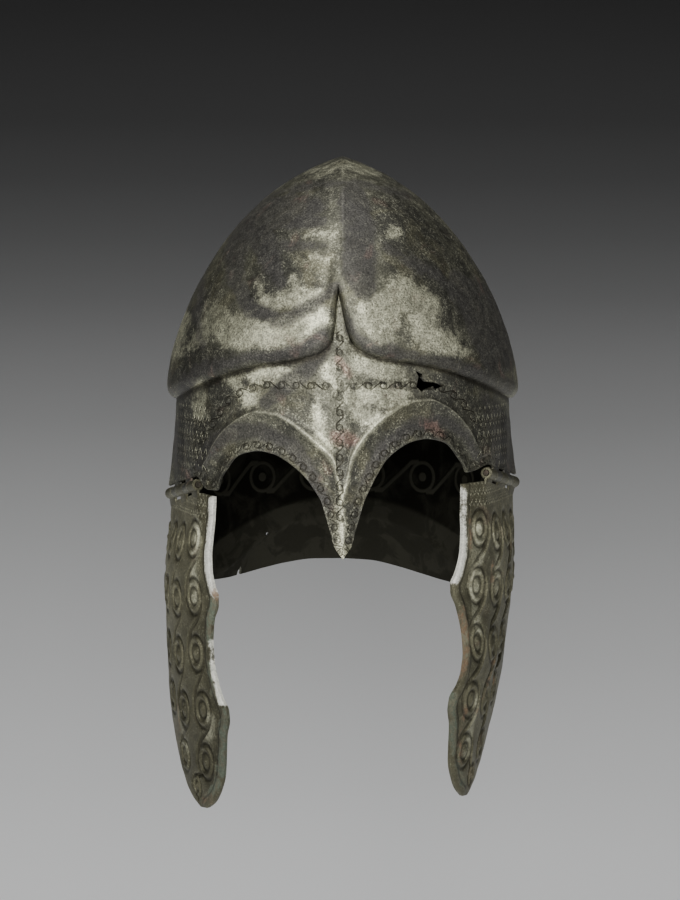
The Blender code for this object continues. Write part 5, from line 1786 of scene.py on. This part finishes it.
def sweep_mesh():
    """Floor that curves up into a backdrop, as one strip, with a quarter circle between them."""
    floor, radius, rear = SWEEP_FLOOR, SWEEP_RADIUS, SWEEP_REAR
    profile = [(-3.0, floor), (-1.0, floor), (rear - radius, floor)]
    for a in np.linspace(0, math.pi / 2, 20)[1:]:
        profile.append((rear - radius + radius * math.sin(a), floor + radius - radius * math.cos(a)))
    profile += [(rear, 1.4), (rear, 2.4)]
    rows = [[(x, y, z) for x in (-SWEEP_HALF, SWEEP_HALF)] for y, z in profile]
    points = np.array(rows).reshape(-1, 3)
    faces = []
    for k in range(len(profile) - 1):
        a = 2 * k
        faces += [(a, a + 1, a + 3), (a, a + 3, a + 2)]
    return make_mesh("studio_sweep", points, faces, {}, np.zeros(len(faces)))


def add_light(name, place, target, power, size):
    """Soft rectangular light turned towards a point."""
    data = bpy.data.lights.new(name, "AREA")
    data.shape = "RECTANGLE"
    data.size, data.size_y = size
    data.energy = power
    ob = bpy.data.objects.new(name, data)
    ob.location = place
    ob.rotation_euler = (Vector(target) - Vector(place)).to_track_quat("-Z", "Y").to_euler()
    bpy.context.scene.collection.objects.link(ob)
    return ob


class HELMET_OT_studio(bpy.types.Operator):
    """Build the backdrop, the lights and the camera"""

    bl_idname = "helmet.studio"
    bl_label = "Build Studio"

    def execute(self, context):
        form, look, studio = settings()
        sweep = as_object(sweep_mesh())
        shade(sweep.data, 60)
        material, s = new_material("studio_paper")
        below = (BACKDROP_TOP - s.parts(s.coords())[2]) / (BACKDROP_TOP - BACKDROP_FOOT)
        ramp = s.node("ShaderNodeValToRGB", {0: below})
        for place, pale in BACKDROP_RAMP:
            stop = ramp.color_ramp.elements.new(place)
            stop.color = (pale, pale, pale, 1)
        color = s.mix(Value(s, ramp.outputs[0]), studio.backdrop, studio.floor)
        s.finish(color, 0.0, 0.9, 0.0)
        sweep.data.materials.append(material)
        middle = (0.0, 0.0, -0.15)
        add_light("key", (-0.40, -1.45, 1.05), middle, studio.key_power, (0.9, 0.6))
        add_light("front_fill", (-0.12, -1.95, 0.18), middle, studio.front_power, (0.6, 0.6))
        add_light("right_fill", (1.35, -0.75, 0.10), middle, studio.fill_power * 0.8, (0.5, 0.9))
        add_light("left_fill", (-1.35, -0.75, 0.10), middle, studio.fill_power, (0.5, 0.9))
        add_light("backdrop_light", (0.0, -0.2, 1.6), (0.0, 1.3, -0.4), studio.backdrop_power, (1.6, 0.4))
        world = bpy.data.worlds.new("studio_world")
        world.use_nodes = True
        world.node_tree.nodes["Background"].inputs[0].default_value = (1.0, 1.0, 1.0, 1)
        world.node_tree.nodes["Background"].inputs[1].default_value = 0.08
        context.scene.world = world
        data = bpy.data.cameras.new("camera")
        data.sensor_fit = "VERTICAL"
        data.sensor_height = 36.0
        data.lens = 36.0 * studio.distance / studio.frame_height
        camera = bpy.data.objects.new("camera", data)
        rise = studio.distance * math.sin(studio.elevation)
        away = studio.distance * math.cos(studio.elevation)
        camera.location = (studio.aim_side, -away, studio.aim_level + rise)
        camera.rotation_euler = (math.pi / 2 - studio.elevation, 0, 0)
        context.scene.collection.objects.link(camera)
        context.scene.camera = camera
        return {"FINISHED"}


class HELMET_PT_panel(bpy.types.Panel):
    """The helmet's settings and builders"""

    bl_idname = "HELMET_PT_panel"
    bl_label = "Chalcidian Helmet"
    bl_space_type = "VIEW_3D"
    bl_region_type = "UI"
    bl_category = "Helmet"

    def draw(self, context):
        for group in settings():
            box = self.layout.box()
            for key in group.bl_rna.properties.keys():
                if key not in ("rna_type", "name"):
                    box.prop(group, key)
        for operator in OPERATORS:
            self.layout.operator(operator.bl_idname)


OPERATORS = (HELMET_OT_bowl, HELMET_OT_cheekpieces, HELMET_OT_pins, HELMET_OT_studio)
GROUPS = {"helmet_form": HelmetForm, "helmet_look": HelmetLook, "helmet_studio": HelmetStudio}


def register():
    """Registers the classes and hangs the property groups on the scene."""
    for item in (*GROUPS.values(), *OPERATORS, HELMET_PT_panel):
        bpy.utils.register_class(item)
    for key, item in GROUPS.items():
        setattr(bpy.types.Scene, key, PointerProperty(type=item))


def unregister():
    """Takes them away again."""
    for key in GROUPS:
        delattr(bpy.types.Scene, key)
    for item in (HELMET_PT_panel, *OPERATORS, *GROUPS.values()):
        bpy.utils.unregister_class(item)


def main():
    """Builds every piece and the studio."""
    register()
    bpy.ops.helmet.bowl()
    bpy.ops.helmet.cheekpieces()
    bpy.ops.helmet.pins()
    bpy.ops.helmet.studio()


if __name__ == "__main__":
    main()
